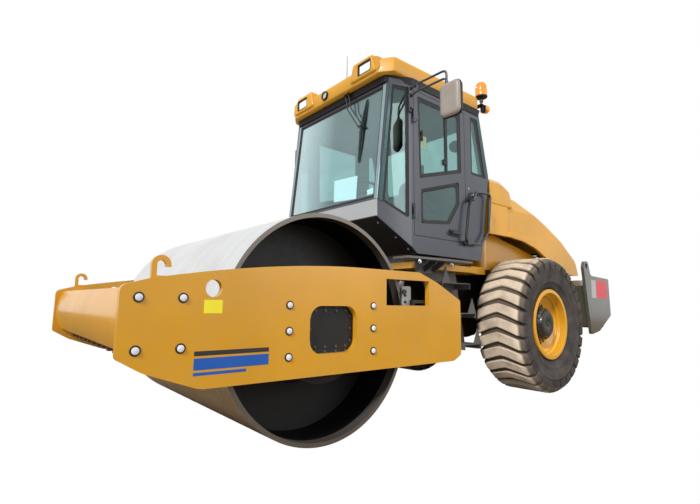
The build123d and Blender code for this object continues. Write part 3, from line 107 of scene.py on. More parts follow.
class Finish:
    """Small helper that wires one node material."""

    def __init__(self, name, material=None):
        self.material = material or bpy.data.materials.new(name)
        self.material.use_nodes = True
        self.tree = self.material.node_tree
        self.shader = self.tree.nodes["Principled BSDF"]
        self.place = self.node("ShaderNodeTexCoord").outputs["Object"]

    def node(self, kind, **values):
        node = self.tree.nodes.new(kind)
        for key, value in values.items():
            setattr(node, key, value)
        return node

    def link(self, source, target):
        self.tree.links.new(source, target)

    def set(self, **values):
        for key, value in values.items():
            self.shader.inputs[key.replace("_", " ")].default_value = value

    def scaled(self, scale):
        """Object coordinates stretched by three factors."""
        mapping = self.node("ShaderNodeMapping")
        mapping.inputs["Scale"].default_value = scale
        self.link(self.place, mapping.inputs["Vector"])
        return mapping.outputs["Vector"]

    def noise(self, scale, detail=3.0, rough=0.5, vector=None, distortion=0.0):
        noise = self.node("ShaderNodeTexNoise")
        noise.inputs["Scale"].default_value = scale
        noise.inputs["Detail"].default_value = detail
        noise.inputs["Roughness"].default_value = rough
        noise.inputs["Distortion"].default_value = distortion
        self.link(vector or self.place, noise.inputs["Vector"])
        return noise.outputs["Fac"]

    def steps(self, factor, low, high, start=0.0, end=1.0):
        """Maps a factor from start..end to low..high, clamped."""
        span = self.node("ShaderNodeMapRange")
        span.inputs["From Min"].default_value = start
        span.inputs["From Max"].default_value = end
        span.inputs["To Min"].default_value = low
        span.inputs["To Max"].default_value = high
        self.link(factor, span.inputs["Value"])
        return span.outputs["Result"]

    def mix(self, factor, first, second):
        """Colour mix; first and second are colours or sockets."""
        mix = self.node("ShaderNodeMix", data_type="RGBA")
        self.link(factor, mix.inputs["Factor"])
        for value, socket in ((first, mix.inputs[6]), (second, mix.inputs[7])):
            if isinstance(value, bpy.types.NodeSocket):
                self.link(value, socket)
            else:
                socket.default_value = value
        return mix.outputs[2]

    def maths(self, operation, first, second=None):
        node = self.node("ShaderNodeMath", operation=operation)
        for value, socket in ((first, node.inputs[0]), (second, node.inputs[1])):
            if isinstance(value, bpy.types.NodeSocket):
                self.link(value, socket)
            elif value is not None:
                socket.default_value = value
        return node.outputs[0]

    def part(self, axis):
        """One coordinate of the place on the object."""
        split = self.node("ShaderNodeSeparateXYZ")
        self.link(self.place, split.inputs[0])
        return split.outputs[axis]

    def radius(self, y, z):
        """Distance from an axle that lies along x."""
        across = self.maths("SUBTRACT", self.part(1), y)
        up = self.maths("SUBTRACT", self.part(2), z)
        squares = self.maths("ADD", self.maths("MULTIPLY", across, across), self.maths("MULTIPLY", up, up))
        return self.maths("SQRT", squares)

    def colour(self, source):
        """Base colour taken from a socket."""
        self.link(source, self.shader.inputs["Base Color"])

    def present_colour(self):
        return self.shader.inputs["Base Color"].links[0].from_socket

    def roughness(self, scale, detail, low, high):
        """Roughness that wanders between two values."""
        self.link(self.steps(self.noise(scale, detail), low, high), self.shader.inputs["Roughness"])

    def bump(self, height, strength, distance):
        bump = self.node("ShaderNodeBump")
        bump.inputs["Strength"].default_value = strength
        bump.inputs["Distance"].default_value = distance
        self.link(height, bump.inputs["Height"])
        self.link(bump.outputs["Normal"], self.shader.inputs["Normal"])


def shade(colour, factor):
    """Colour made darker or lighter by a factor."""
    return tuple(min(1.0, channel * factor) for channel in colour[:3]) + (1.0,)


def paint(name, colour, rough=0.30, coat=0.5, dust=0.25):
    """Sprayed machine paint with orange peel, faint streaks and dust low down."""
    finish = Finish(name)
    finish.set(Roughness=rough, Coat_Weight=coat, Coat_Roughness=0.12)
    dusty = srgb(176, 152, 112)
    patches = finish.steps(finish.noise(1.6, 4.0), 0.0, 1.0, 0.35, 0.75)
    tone = finish.mix(patches, colour, shade(colour, 0.86))
    low = finish.steps(finish.part(2), dust, 0.0, 0.3, 1.3)
    grain = finish.steps(finish.noise(9.0, 6.0, 0.65), 0.0, 1.0, 0.4, 0.8)
    finish.colour(finish.mix(finish.maths("MULTIPLY", low, grain), tone, dusty))
    finish.roughness(4.0, 3.0, rough - 0.06, rough + 0.10)
    finish.bump(finish.noise(520.0, 2.0), 0.06, 0.0006)
    return finish.material


def rubber(name, colour):
    """Matt rubber with pale patches."""
    finish = Finish(name)
    finish.set(Roughness=0.62)
    finish.colour(finish.mix(finish.noise(14.0, 5.0), colour, shade(colour, 1.6)))
    finish.bump(finish.noise(260.0, 3.0), 0.15, 0.0008)
    return finish.material


def tyre_rubber():
    """Dark side walls, brown grooves and lug tops that carry pale dried dust; towards the ground the dust
    thins out, as painted shade on the lower tread.
    """
    finish = Finish("tyre_rubber")
    finish.set(Roughness=0.82)
    radius = finish.radius(WHEEL_Y, WHEEL_Z)
    worn = finish.steps(finish.noise(5.0, 4.0), 0.55, 1.0, 0.3, 0.55)
    scuffs = finish.steps(finish.noise(24.0, 6.0, 0.7), 0.45, 1.0, 0.25, 0.55)
    # Painted shade: less dust, so a darker tread, towards the bottom of the tyre.
    low = finish.steps(finish.part(2), 0.35, 1.0, 0.02, 0.34)
    groove = finish.steps(radius, 0.0, 0.62, 0.648, 0.676)
    top = finish.steps(radius, 0.0, 1.0, 0.693, 0.708)
    mottle = finish.steps(finish.noise(7.0, 5.0), 0.0, 1.0, 0.35, 0.8)
    wall = finish.mix(mottle, srgb(46, 42, 40), srgb(84, 76, 70))
    soil = finish.mix(finish.noise(18.0, 5.0), srgb(134, 116, 96), srgb(104, 90, 74))
    dust = finish.mix(finish.noise(26.0, 4.0), srgb(232, 214, 190), srgb(206, 184, 158))
    floor = finish.mix(finish.maths("MULTIPLY", groove, scuffs), wall, soil)
    dust_thinned_by_painted_shade = finish.maths("MULTIPLY", finish.maths("MULTIPLY", top, worn), low)
    finish.colour(finish.mix(dust_thinned_by_painted_shade, floor, dust))
    finish.bump(finish.noise(90.0, 6.0, 0.7), 0.35, 0.002)
    return finish.material


def plastic(name, colour, rough=0.45, grain=0.12):
    """Moulded plastic with a fine grain."""
    finish = Finish(name)
    finish.colour(finish.mix(finish.noise(6.0, 4.0), colour, shade(colour, 1.35)))
    finish.roughness(20.0, 3.0, rough - 0.08, rough + 0.08)
    finish.bump(finish.noise(700.0, 2.0), grain, 0.0004)
    return finish.material


def film(name, colour, rough=0.35):
    """Smooth printed film."""
    return plastic(name, colour, rough, grain=0.03)


def bare_metal(name, colour, rough):
    """Metal without paint, with darker spots."""
    finish = Finish(name)
    finish.set(Metallic=1.0)
    finish.colour(finish.mix(finish.noise(40.0, 4.0), colour, shade(colour, 0.75)))
    finish.roughness(60.0, 3.0, rough - 0.05, rough + 0.15)
    return finish.material


def tinted_glass(name, tint, haze, rise, painted_reflection=0.0):
    """Thin pane: clear with a light tint, and a reflection that grows at flat angles; an optional extra
    weight adds a painted reflection that grows towards the machine's right side.
    """
    finish = Finish(name)
    clear = finish.node("ShaderNodeBsdfTransparent")
    clear.inputs["Color"].default_value = tint
    shine = finish.node("ShaderNodeBsdfGlossy")
    shine.inputs["Roughness"].default_value = 0.02
    shine.inputs["Color"].default_value = (0.78, 0.95, 0.96, 1.0)
    mixer = finish.node("ShaderNodeMixShader")
    weight = finish.node("ShaderNodeLayerWeight")
    weight.inputs["Blend"].default_value = 0.5
    curve = finish.maths("POWER", weight.outputs["Facing"], 2.2)
    smear = finish.steps(finish.noise(1.3, 3.0), 0.85, 1.15, 0.3, 0.7)
    amount = finish.maths("MULTIPLY", finish.steps(curve, haze, rise), smear)
    if painted_reflection:
        # Painted reflection: extra mirror weight over the right half of the pane, strongest at x = -0.72.
        amount = finish.maths("ADD", amount, finish.steps(finish.part(0), painted_reflection, 0.0, -0.72, -0.02))
    finish.link(amount, mixer.inputs[0])
    finish.link(clear.outputs[0], mixer.inputs[1])
    finish.link(shine.outputs[0], mixer.inputs[2])
    finish.link(mixer.outputs[0], finish.tree.nodes["Material Output"].inputs["Surface"])
    finish.tree.nodes.remove(finish.shader)
    return finish.material


def lamp_glass(name, colour, glow=0.0):
    """Lamp lens under a clear coat, with a little light of its own; on the blank cards this glow is painted
    light.
    """
    finish = Finish(name)
    finish.set(Roughness=0.12, Coat_Weight=0.6, Coat_Roughness=0.05)
    finish.colour(finish.mix(finish.noise(60.0, 2.0), colour, srgb(255, 255, 255)))
    if glow:
        finish.set(Emission_Color=colour, Emission_Strength=glow)
    return finish.material


def fabric(name, colour):
    """Woven seat cloth."""
    finish = Finish(name)
    finish.set(Roughness=0.85, Sheen_Weight=0.3)
    weave = finish.node("ShaderNodeTexVoronoi")
    weave.inputs["Scale"].default_value = 420.0
    finish.link(finish.place, weave.inputs["Vector"])
    finish.colour(finish.mix(weave.outputs["Distance"], colour, shade(colour, 1.7)))
    finish.bump(weave.outputs["Distance"], 0.3, 0.0006)
    return finish.material


def drum_finish():
    """Polished outer face with rings of fine scratches, bare rims and a black inside."""
    finish = Finish("drum_steel")
    finish.set(Anisotropic=0.3)
    radius = finish.radius(DRUM_Y, DRUM_Z)
    side = finish.maths("ABSOLUTE", finish.part(0))
    inner = finish.steps(radius, 1.0, 0.0, DRUM_RADIUS - 0.020, DRUM_RADIUS - 0.016)
    deep = finish.steps(side, 1.0, 0.0, 0.990, 1.000)
    black = finish.maths("MULTIPLY", inner, deep)
    rings = finish.noise(1.0, 6.0, 0.7, finish.scaled((70.0, 1.2, 1.2)))
    patches = finish.steps(finish.noise(2.2, 5.0, 0.6), 0.0, 0.28, 0.45, 0.8)
    clean = finish.mix(finish.steps(rings, 0.0, 1.0, 0.3, 0.7), srgb(246, 246, 245), srgb(222, 220, 217))
    steel = finish.mix(patches, clean, srgb(150, 132, 112))
    end = finish.steps(side, 0.0, 1.0, 1.0635, 1.0645)
    bare = finish.maths("MAXIMUM", inner, end)
    dull = finish.mix(bare, steel, srgb(128, 122, 116))
    # Near-black, barely reflecting colour over the whole inside of the drum.
    coat = finish.mix(finish.noise(3.0, 5.0), srgb(5, 5, 6), srgb(12, 12, 12))
    finish.colour(finish.mix(black, dull, coat))
    finish.link(finish.steps(black, 1.0, 0.0), finish.shader.inputs["Metallic"])
    finish.link(finish.steps(black, 0.5, 0.12), finish.shader.inputs["Specular IOR Level"])
    shine = finish.steps(rings, 0.20, 0.38)
    rough = finish.maths("ADD", shine, finish.steps(bare, 0.0, 0.30))
    finish.link(rough, finish.shader.inputs["Roughness"])
    finish.bump(rings, 0.10, 0.0006)
    return finish.material


def amber_glass():
    """Ribbed amber plastic that glows a little where light passes through it."""
    finish = Finish("beacon_amber")
    finish.set(Coat_Weight=0.5, Coat_Roughness=0.06, Roughness=0.22, Emission_Strength=0.10)
    amber = finish.mix(finish.noise(30.0, 3.0), srgb(240, 128, 12), srgb(250, 160, 36))
    finish.colour(amber)
    finish.link(amber, finish.shader.inputs["Emission Color"])
    return finish.material


def silver(name, rough):
    """Clean reflecting metal film."""
    finish = Finish(name)
    finish.set(Metallic=1.0)
    finish.colour(finish.mix(finish.noise(9.0, 2.0), srgb(226, 228, 230), srgb(240, 241, 243)))
    finish.roughness(30.0, 2.0, rough, rough + 0.05)
    return finish.material


def cab_paint_with_painted_highlight():
    """Grey cab paint with a pale band on the front face under the windscreen, a painted highlight for the
    sun's sheen there.
    """
    material = paint("cab_shell_paint_with_painted_highlight", srgb(54, 58, 69), rough=0.34, dust=0.05)
    finish = Finish(material.name, material)
    base = finish.present_colour()
    # Painted highlight: pale grey over the front face under the windscreen, where the sun's sheen falls.
    plane = finish.steps(finish.part(1), 1.0, 0.0, 0.818 - MIDDLE_Y, 0.820 - MIDDLE_Y)
    front = finish.maths("MULTIPLY", plane, finish.steps(finish.part(2), 1.0, 0.0, 1.812, 1.814))
    pale = finish.mix(finish.noise(2.0, 3.0), srgb(158, 158, 160), srgb(176, 176, 176))
    finish.colour(finish.mix(front, base, pale))
    return material


def banded_paint(name, upper, lower, height):
    """Machine paint that changes to a second colour below one height."""
    material = paint(name, upper)
    finish = Finish(material.name, material)
    base = finish.present_colour()
    below = finish.steps(finish.part(2), 1.0, 0.0, height - 0.001, height + 0.001)
    deep = finish.mix(finish.noise(5.0, 3.0), lower, shade(lower, 1.5))
    finish.colour(finish.mix(below, base, deep))
    return material


FINISH = {
    "yellow": paint("yellow_paint", srgb(224, 160, 26), coat=0.3),
    "cab_grey": paint("cab_grey_paint", srgb(54, 58, 69), rough=0.34, dust=0.05),
    "dark_paint": paint("charcoal_paint", srgb(58, 60, 64), rough=0.42, coat=0.2),
    "black_steel": paint("black_paint", srgb(24, 24, 26), rough=0.38, coat=0.3, dust=0.1),
    "tail_grey": paint("tail_grey_paint", srgb(78, 78, 68), rough=0.20, coat=0.6, dust=0.1),
    "drum_steel": drum_finish(),
    "tyre": tyre_rubber(),
    "rubber": rubber("black_rubber", srgb(22, 22, 22)),
    "plastic": plastic("black_plastic", srgb(30, 30, 32)),
    "glass": tinted_glass("cab_glass", srgb(214, 232, 230), 0.07, 0.34),
    # The windscreen carries a painted reflection over its right half.
    "front_glass": tinted_glass("front_glass", srgb(212, 230, 231), 0.12, 0.66, painted_reflection=0.56),
    "chrome": bare_metal("chromed_rod", srgb(225, 225, 228), 0.10),
    "amber": lamp_glass("amber_lens", srgb(246, 150, 30), 0.25),
    "lens": lamp_glass("clear_lens", srgb(236, 240, 244), 0.12),
    "fabric": fabric("seat_cloth", srgb(34, 35, 40)),
    "bright": bare_metal("zinc_bolt", srgb(226, 226, 228), 0.22),
    "dull_bolt": bare_metal("phosphated_bolt", srgb(92, 92, 94), 0.38),
    "light_steel": paint("light_grey_paint", srgb(176, 176, 176), rough=0.4, coat=0.1, dust=0.1),
    "hub_grey": paint("hub_face_paint", srgb(38, 38, 39), rough=0.5, coat=0.05),
    "band_blue": film("band_blue_film", srgb(20, 84, 168)),
    "band_dark": film("band_dark_film", srgb(44, 42, 44)),
    "sticker_yellow": film("sticker_yellow_film", srgb(248, 222, 40)),
    "black_trim": plastic("black_trim_plastic", srgb(9, 9, 10), rough=0.6),
    "frame_black": paint("frame_black_paint", srgb(15, 15, 16), rough=0.55, coat=0.0, dust=0.12),
    "step_grey": paint("step_grey_paint", srgb(92, 91, 89), rough=0.5, coat=0.1, dust=0.15),
    # Plain white for the side plates' bolt heads: a painted highlight in place of their metal shine.
    "white_painted_highlight": plastic("bolt_head_painted_highlight", srgb(214, 214, 218), rough=0.3, grain=0.02),
    "roof": paint("roof_paint", srgb(224, 160, 34), rough=0.42, coat=0.15, dust=0.1),
    # Inner fenders: yellow above 1.236 m and near-black below it.
    "fender": banded_paint("fender_paint", srgb(214, 152, 34), srgb(22, 22, 23), 1.236),
    # The blank cards glow a little: painted light that keeps the paper bright behind the glass.
    "amber_card_painted_glow": lamp_glass("card_amber_sheet", srgb(240, 176, 70), 0.35),
    "white_card_painted_glow": lamp_glass("card_lit_sheet", srgb(244, 244, 244), 1.0),
    "pane_border": bare_metal("pane_border_film", srgb(84, 108, 110), 0.06),
    "pale_border": bare_metal("pale_border_film", srgb(164, 186, 186), 0.06),
    "rust": plastic("rusted_steel", srgb(110, 72, 40), rough=0.8, grain=0.3),
    "sheet_red": film("sheet_red_film", srgb(196, 44, 52), rough=0.3),
    "dark_lens": lamp_glass("smoked_lens", srgb(40, 44, 48)),
    "mirror": silver("mirror_silver", 0.02),
    "taupe": plastic("mirror_back_plastic", srgb(146, 136, 126), rough=0.38),
    "tube_grey": plastic("mirror_tube_coat", srgb(64, 66, 72), rough=0.3),
    "beacon": amber_glass(),
    "cab_shell": cab_paint_with_painted_highlight(),
}
NODE_FINISH = {
    "windscreen": "front_glass", "cab_shell": "cab_shell", "inner_fenders": "fender",
    "rear_chassis": "frame_black", "rear_axle": "frame_black", "rear_beam": "frame_black",
    "drum_carriers": "black_trim", "drum_motors": "black_trim", "drum_heads": "black_trim",
    "steps": "step_grey", "platform": "step_grey",
}


def dress_cad_nodes():
    """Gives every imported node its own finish, or that of its slot."""
    for entry in frame["record"]["subparts"]:
        node = frame["nodes"][entry["node"]]
        material = FINISH[NODE_FINISH.get(entry["node"], entry["material_slot"])]
        node.data.materials.clear()
        node.data.materials.append(material)


dress_cad_nodes()


# Shapes shared by the added pieces
def local(x, y, z):
    """Point of the machine, with y measured from the drum's axis, in the shared frame."""
    return Vector((x, y - MIDDLE_Y, z))


def facing(point, normal, up=(0.0, 0.0, 1.0)):
    """Placement whose z axis is the normal and whose y axis leans to up."""
    z = Vector(normal).normalized()
    y = (Vector(up) - z * z.dot(Vector(up))).normalized()
    x = y.cross(z)
    return Matrix.Translation(point) @ Matrix((x, y, z)).transposed().to_4x4()


def add_piece(name, bm, body, slot, finish=None, sharp=35.0):
    """Turns a bmesh into a named piece on a body; its looks are the slot's, or those of a named finish."""
    bmesh.ops.recalc_face_normals(bm, faces=bm.faces)
    mesh = bpy.data.meshes.new(name)
    bm.to_mesh(mesh)
    bm.free()
    mesh.shade_smooth()
    mesh.set_sharp_from_angle(angle=math.radians(sharp))
    mesh.materials.append(FINISH[finish or slot])
    piece = bpy.data.objects.new(name, mesh)
    bpy.context.collection.objects.link(piece)
    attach(piece, body)
    return piece


def bridge(bm, first, second, closed=True):
    """Joins two rings of vertices; a ring of one vertex is a tip."""
    count = max(len(first), len(second))
    for index in range(count if closed else count - 1):
        after = (index + 1) % count
        corners = []
        for ring, order in ((first, (index, after)), (second, (after, index))):
            if len(ring) == 1:
                corners.append(ring[0])
            else:
                corners.extend(ring[step] for step in order)
        bm.faces.new(corners)


def skin(bm, rings, ends=(), closed=True):
    """Joins rings in order, and closes those that ends names with a face."""
    for first, second in zip(rings, rings[1:]):
        bridge(bm, first, second, closed)
    for end in ends:
        bm.faces.new(rings[end])


def flat_ring(bm, points, place, height):
    """Vertices of flat points at one height over the placement."""
    return [bm.verts.new(place @ Vector((p[0], p[1], height))) for p in points]


def upright_ring(bm, points, y, side=1):
    """Vertices of (x, z) points on one side at one y, measured from the drum's axis."""
    return [bm.verts.new(local(side * p[0], y, p[1])) for p in points]


def circle(bm, place, radius, height, turns):
    """Vertices of a circle about the placement's z axis; without a radius, one vertex."""
    if not radius:
        return [bm.verts.new(place @ Vector((0.0, 0.0, height)))]
    ring = []
    for step in range(turns):
        angle = math.tau * step / turns
        spot = Vector((radius * math.cos(angle), radius * math.sin(angle), height))
        ring.append(bm.verts.new(place @ spot))
    return ring


def lathe(bm, profile, place, turns):
    """Revolves (radius, height) points about the placement's z axis."""
    last = None
    for radius, height in profile:
        ring = circle(bm, place, radius, height, turns)
        if last:
            bridge(bm, last, ring)
        last = ring


def rod(bm, points, radius, sides):
    """Round bar through points, with its ends closed; radius is one value or one for each point."""
    points = [Vector(point) for point in points]
    rings = []
    for index, point in enumerate(points):
        ahead = points[min(index + 1, len(points) - 1)] - points[max(index - 1, 0)]
        place = facing(point, ahead, (0.31, 0.17, 0.93))
        size = radius[index] if isinstance(radius, list) else radius
        rings.append(circle(bm, place, size, 0.0, sides))
    skin(bm, rings, (0, -1))


def rounded(corners, radius, steps=5):
    """Points of a polygon whose corners are rounded."""
    out = []
    count = len(corners)
    for index in range(count):
        corner = Vector(corners[index])
        before = (Vector(corners[index - 1]) - corner).normalized()
        after = (Vector(corners[(index + 1) % count]) - corner).normalized()
        half = before.angle(after) / 2
        reach = radius / math.tan(half)
        centre = corner + (before + after).normalized() * (radius / math.sin(half))
        start = corner + before * reach - centre
        end = corner + after * reach - centre
        sweep = start.angle_signed(end)
        for step in range(steps + 1):
            turn = Matrix.Rotation(-sweep * step / steps, 2)
            out.append(centre + turn @ start)
    return out


def shrunk(corners, distance):
    """Corners of a polygon moved inward by a distance."""
    area = sum(a[0] * b[1] - b[0] * a[1] for a, b in zip(corners, corners[1:] + corners[:1]))
    sign = 1.0 if area > 0 else -1.0
    out = []
    count = len(corners)
    for index in range(count):
        corner = Vector(corners[index])
        before = (corner - Vector(corners[index - 1])).normalized()
        after = (Vector(corners[(index + 1) % count]) - corner).normalized()
        first = Vector((-before.y, before.x)) * sign
        second = Vector((-after.y, after.x)) * sign
        middle = (first + second).normalized()
        out.append(tuple(corner + middle * (distance / middle.dot(first))))
    return out


def slab(bm, corners, place, low, high, bevel, radius=0.0):
    """Flat plate between two heights over the placement, with round corners and a bevelled top."""
    outer = rounded(corners, radius) if radius else corners
    small = shrunk(corners, bevel)
    top = rounded(small, max(radius - bevel, 0.0002)) if radius else small
    rings = [flat_ring(bm, outer, place, low), flat_ring(bm, outer, place, high - bevel)]
    rings.append(flat_ring(bm, top, place, high))
    skin(bm, rings, (0, -1))


def window_ring(bm, corners, radius, width, place, low, high):
    """Rubber border that follows the inside of an opening."""
    outer = rounded(corners, radius)
    inner = rounded(shrunk(corners, width), max(radius - width * 0.4, 0.006))
    lip = rounded(shrunk(corners, width * 0.25), max(radius - width * 0.1, 0.006))
    levels = [(outer, low), (outer, high - 0.002), (lip, high), (inner, low + 0.0015), (inner, low)]
    rings = [flat_ring(bm, points, place, height) for points, height in levels]
    skin(bm, rings + rings[:1])


def box_corners(u0, u1, v0, v1):
    """Corners of a box, with its two u values in either order."""
    u0, u1 = sorted((u0, u1))
    return [(u0, v0), (u1, v0), (u1, v1), (u0, v1)]


def flank(side, x, y=0.0, z=0.0):
    """Placement on an upright face that looks outward to one side."""
    return facing(local(side * x, y, z), (side, 0.0, 0.0))


def bar(bm, x, y, z, bevel):
    """Bevelled block given by its three spans, y from the drum's axis."""
    place = Matrix.Translation(local(0.0, 0.0, 0.0))
    slab(bm, box_corners(x[0], x[1], y[0], y[1]), place, z[0], z[1], bevel=bevel)


def cap_bolt(bm, point, normal, radius):
    """Washer with a domed hexagon head on it."""
    place = facing(point, normal)
    washer = radius * 1.5
    foot = radius * 0.2
    head = [(radius, foot), (radius, radius * 0.8), (radius * 0.86, radius * 0.98), (0.0, radius * 1.02)]
    lathe(bm, [(washer, 0.0), (washer, radius * 0.14), (washer * 0.94, foot), (radius, foot)], place, 24)
    lathe(bm, head, place, 6)


# Pieces of the drum's frame
PLATE_BOLTS = [(y, z) for y in (-0.345, 0.345) for z in (0.893, 0.739, 0.586)]
PLATE_BOLTS += [(y, z) for y in (-1.208, -0.992) for z in (0.925, 0.671)]


def plate_bolts():
    """Domed heads on dark washers, on both side plates; the heads get a plain white finish, a painted
    highlight for the shine of their silver domes.
    """
    heads = bmesh.new()
    washers = bmesh.new()
    washer = [(0.0265, 0.0), (0.0265, 0.003), (0.0245, 0.0045), (0.018, 0.0045)]
    dome = [(0.0182, 0.002), (0.0182, 0.007), (0.016, 0.0105), (0.010, 0.0128), (0.0, 0.0136)]
    for side in (-1, 1):
        for y, z in PLATE_BOLTS:
            place = flank(side, PLATE_X, y, z)
            lathe(washers, washer, place, 32)
            lathe(heads, dome, place, 32)
    # The heads are plain white as a painted highlight, not metal.
    add_piece("plate_bolt_heads", heads, "front_frame", "chrome", "white_painted_highlight")
    add_piece("plate_bolt_washers", washers, "front_frame", "black_steel")


def port_bolts():
    """Small bolts that hold the drive carrier, seen through the ports."""
    bm = bmesh.new()
    carrier_x = 1.1105
    for side in (-1, 1):
        for y in (-0.125, -0.045, 0.045, 0.125):
            for z in (0.595, 0.625, 0.855, 0.885):
                cap_bolt(bm, local(side * carrier_x, y, z), (side, 0, 0), 0.008)
        for z in (0.66, 0.74, 0.82):
            for y in (-0.165, 0.165):
                cap_bolt(bm, local(side * carrier_x, y, z), (side, 0, 0), 0.007)
    add_piece("port_bolts", bm, "front_frame", "black_steel", "dull_bolt")


def plate_marks():
    """Plain two-tone bands and a blank sticker on the side plates."""
    blue = bmesh.new()
    dark = bmesh.new()
    sticker = bmesh.new()
    for side in (-1, 1):
        place = flank(side, PLATE_X)
        for bm, y0, y1, z0, z1, radius in (
            (blue, -0.920, -0.480, 0.556, 0.616, 0.0),
            (blue, -0.920, -0.620, 0.528, 0.544, 0.0),
            (dark, -0.920, -0.480, 0.628, 0.652, 0.0),
            (sticker, -0.880, -0.776, 0.846, 0.917, 0.004),
        ):
            corners = box_corners(side * y0, side * y1, z0, z1)
            slab(bm, corners, place, FILM_GAP, 0.0010, bevel=0.0003, radius=radius)
    add_piece("plate_band_blue", blue, "front_frame", "yellow", "band_blue")
    add_piece("plate_band_dark", dark, "front_frame", "yellow", "band_dark")
    add_piece("plate_sticker", sticker, "front_frame", "yellow", "sticker_yellow")


def window_fitting():
    """Hose bracket and elbow behind the window of each side plate."""
    grey = bmesh.new()
    black = bmesh.new()
    for side in (-1, 1):
        place = flank(side, 1.072)
        corners = box_corners(side * 0.715, side * 0.815, 0.895, 1.045)
        slab(grey, corners, place, 0.0, 0.008, bevel=0.002, radius=0.012)
        for z in (0.925, 0.975):
            cap_bolt(black, local(side * 1.080, 0.748, z), (side, 0, 0), 0.009)
        bend = [local(side * (1.060 - 0.05 * k), 0.735 - 0.035 * k, 1.055 + 0.012 * k) for k in range(4)]
        rod(black, bend, [0.026, 0.026, 0.022, 0.022], 16)
        rod(grey, [local(side * 1.045, 0.72, 1.062), local(side * 1.068, 0.742, 1.052)], 0.031, 6)
        rod(black, [local(side * 1.062, 0.735, 1.0), local(side * 1.092, 0.735, 1.0)], 0.020, 16)
        rod(grey, [local(side * 1.03, 0.735, 0.955), local(side * 1.03, 0.735, 1.06)], 0.012, 12)
    add_piece("window_bracket", grey, "front_frame", "tail_grey", "light_steel")
    add_piece("window_fitting", black, "front_frame", "black_steel")


def scraper_fixings():
    """Bolts and small rusted brackets along the front scraper."""
    bolts = bmesh.new()
    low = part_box("scraper_front")[0]
    for column in range(7):
        spot = Vector((-0.93 + column * 0.31, low[1] + 0.035, low[2] + 0.012))
        cap_bolt(bolts, spot, (0, -0.5, -0.86), 0.013)
        rod(bolts, [spot + Vector((0, 0.012, 0.02)), spot + Vector((0, -0.004, -0.004))], 0.010, 8)
    add_piece("scraper_bolts", bolts, "front_frame", "black_steel", "dull_bolt")
    brackets = bmesh.new()
    face_y = low[1] - local(0.0, 0.0, 0.0).y
    depth = (face_y + 0.004, face_y + 0.030)
    height = (low[2] - 0.014, low[2] + 0.060)
    for column in range(12):
        x = -0.88 + column * 0.16
        bar(brackets, (x - 0.030, x + 0.030), depth, height, bevel=0.004)
    add_piece("scraper_brackets", brackets, "front_frame", "black_steel", "rust")


# Pieces of the wheels
def wheel_parts(side, name):
    """Finer tyre with bevelled lugs, wheel nuts, hub screws, hub face and valve of one wheel."""
    body = "wheel_" + name
    axis = local(side * TYRE_X, WHEEL_Y + MIDDLE_Y, WHEEL_Z)
    place = facing(axis, (side, 0, 0))
    bm = bmesh.new()
    # Radius and distance from the tyre's middle, from the bead to the tread
    wall = [(0.384, 0.195), (0.398, 0.212), (0.404, 0.212), (0.432, 0.231), (0.452, 0.2385)]
    wall += [(0.455, 0.2425), (0.462, 0.2435), (0.466, 0.2425), (0.500, 0.2510), (0.540, 0.2570)]
    wall += [(0.566, 0.2590), (0.571, 0.2615), (0.578, 0.2615), (0.583, 0.2570), (0.605, 0.2500)]
    wall += [(0.630, 0.2360), (0.652, 0.2200), (0.670, 0.2030), (0.680, 0.1800), (0.682, 0.1000)]
    profile = [(radius, -x) for radius, x in wall] + [(radius, x) for radius, x in reversed(wall)]
    profile += [(0.345, 0.190), (0.345, -0.190), (0.384, -0.195)]
    lathe(bm, profile, place, 144)
    add_lugs(bm, axis)
    piece = add_piece("tyre_" + name + "_tread", bm, body, "tyre", sharp=48.0)
    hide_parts("tyre_" + name)

    nuts = bmesh.new()
    # Number, first step, distance outward, radius of the ring and size of each nut or screw
    wheel_nuts = (20, 0.5, 0.070, 0.214, 0.0125)
    hub_screws = (16, 0.0, 0.1555, 0.1535, 0.0075)
    for count, start, out, ring, size in (wheel_nuts, hub_screws):
        for step in range(count):
            angle = math.tau * (step + start) / count
            spot = axis + Vector((side * out, ring * math.cos(angle), ring * math.sin(angle)))
            cap_bolt(nuts, spot, (side, 0, 0), size)
    add_piece("hub_bolts_" + name, nuts, body, "black_steel", "dull_bolt")

    cap = bmesh.new()
    hub = facing(axis + Vector((side * 0.182, 0.0, 0.0)), (side, 0, 0))
    face = [(0.118, 0.0), (0.118, 0.0030), (0.112, 0.0050), (0.040, 0.0055), (0.036, 0.0030)]
    face += [(0.030, 0.0025), (0.024, 0.0025), (0.022, 0.009), (0.0, 0.010)]
    lathe(cap, face, hub, 40)
    add_piece("hub_face_" + name, cap, body, "tail_grey", "hub_grey")

    valve = bmesh.new()
    stem = axis + Vector((side * 0.130, 0.0, 0.300))
    bend = stem + Vector((side * 0.020, 0.0, -0.010))
    rod(valve, [stem, bend, stem + Vector((side * 0.055, 0.0, -0.014))], [0.006, 0.006, 0.0045], 10)
    add_piece("valve_" + name, valve, body, "chrome", "bright")


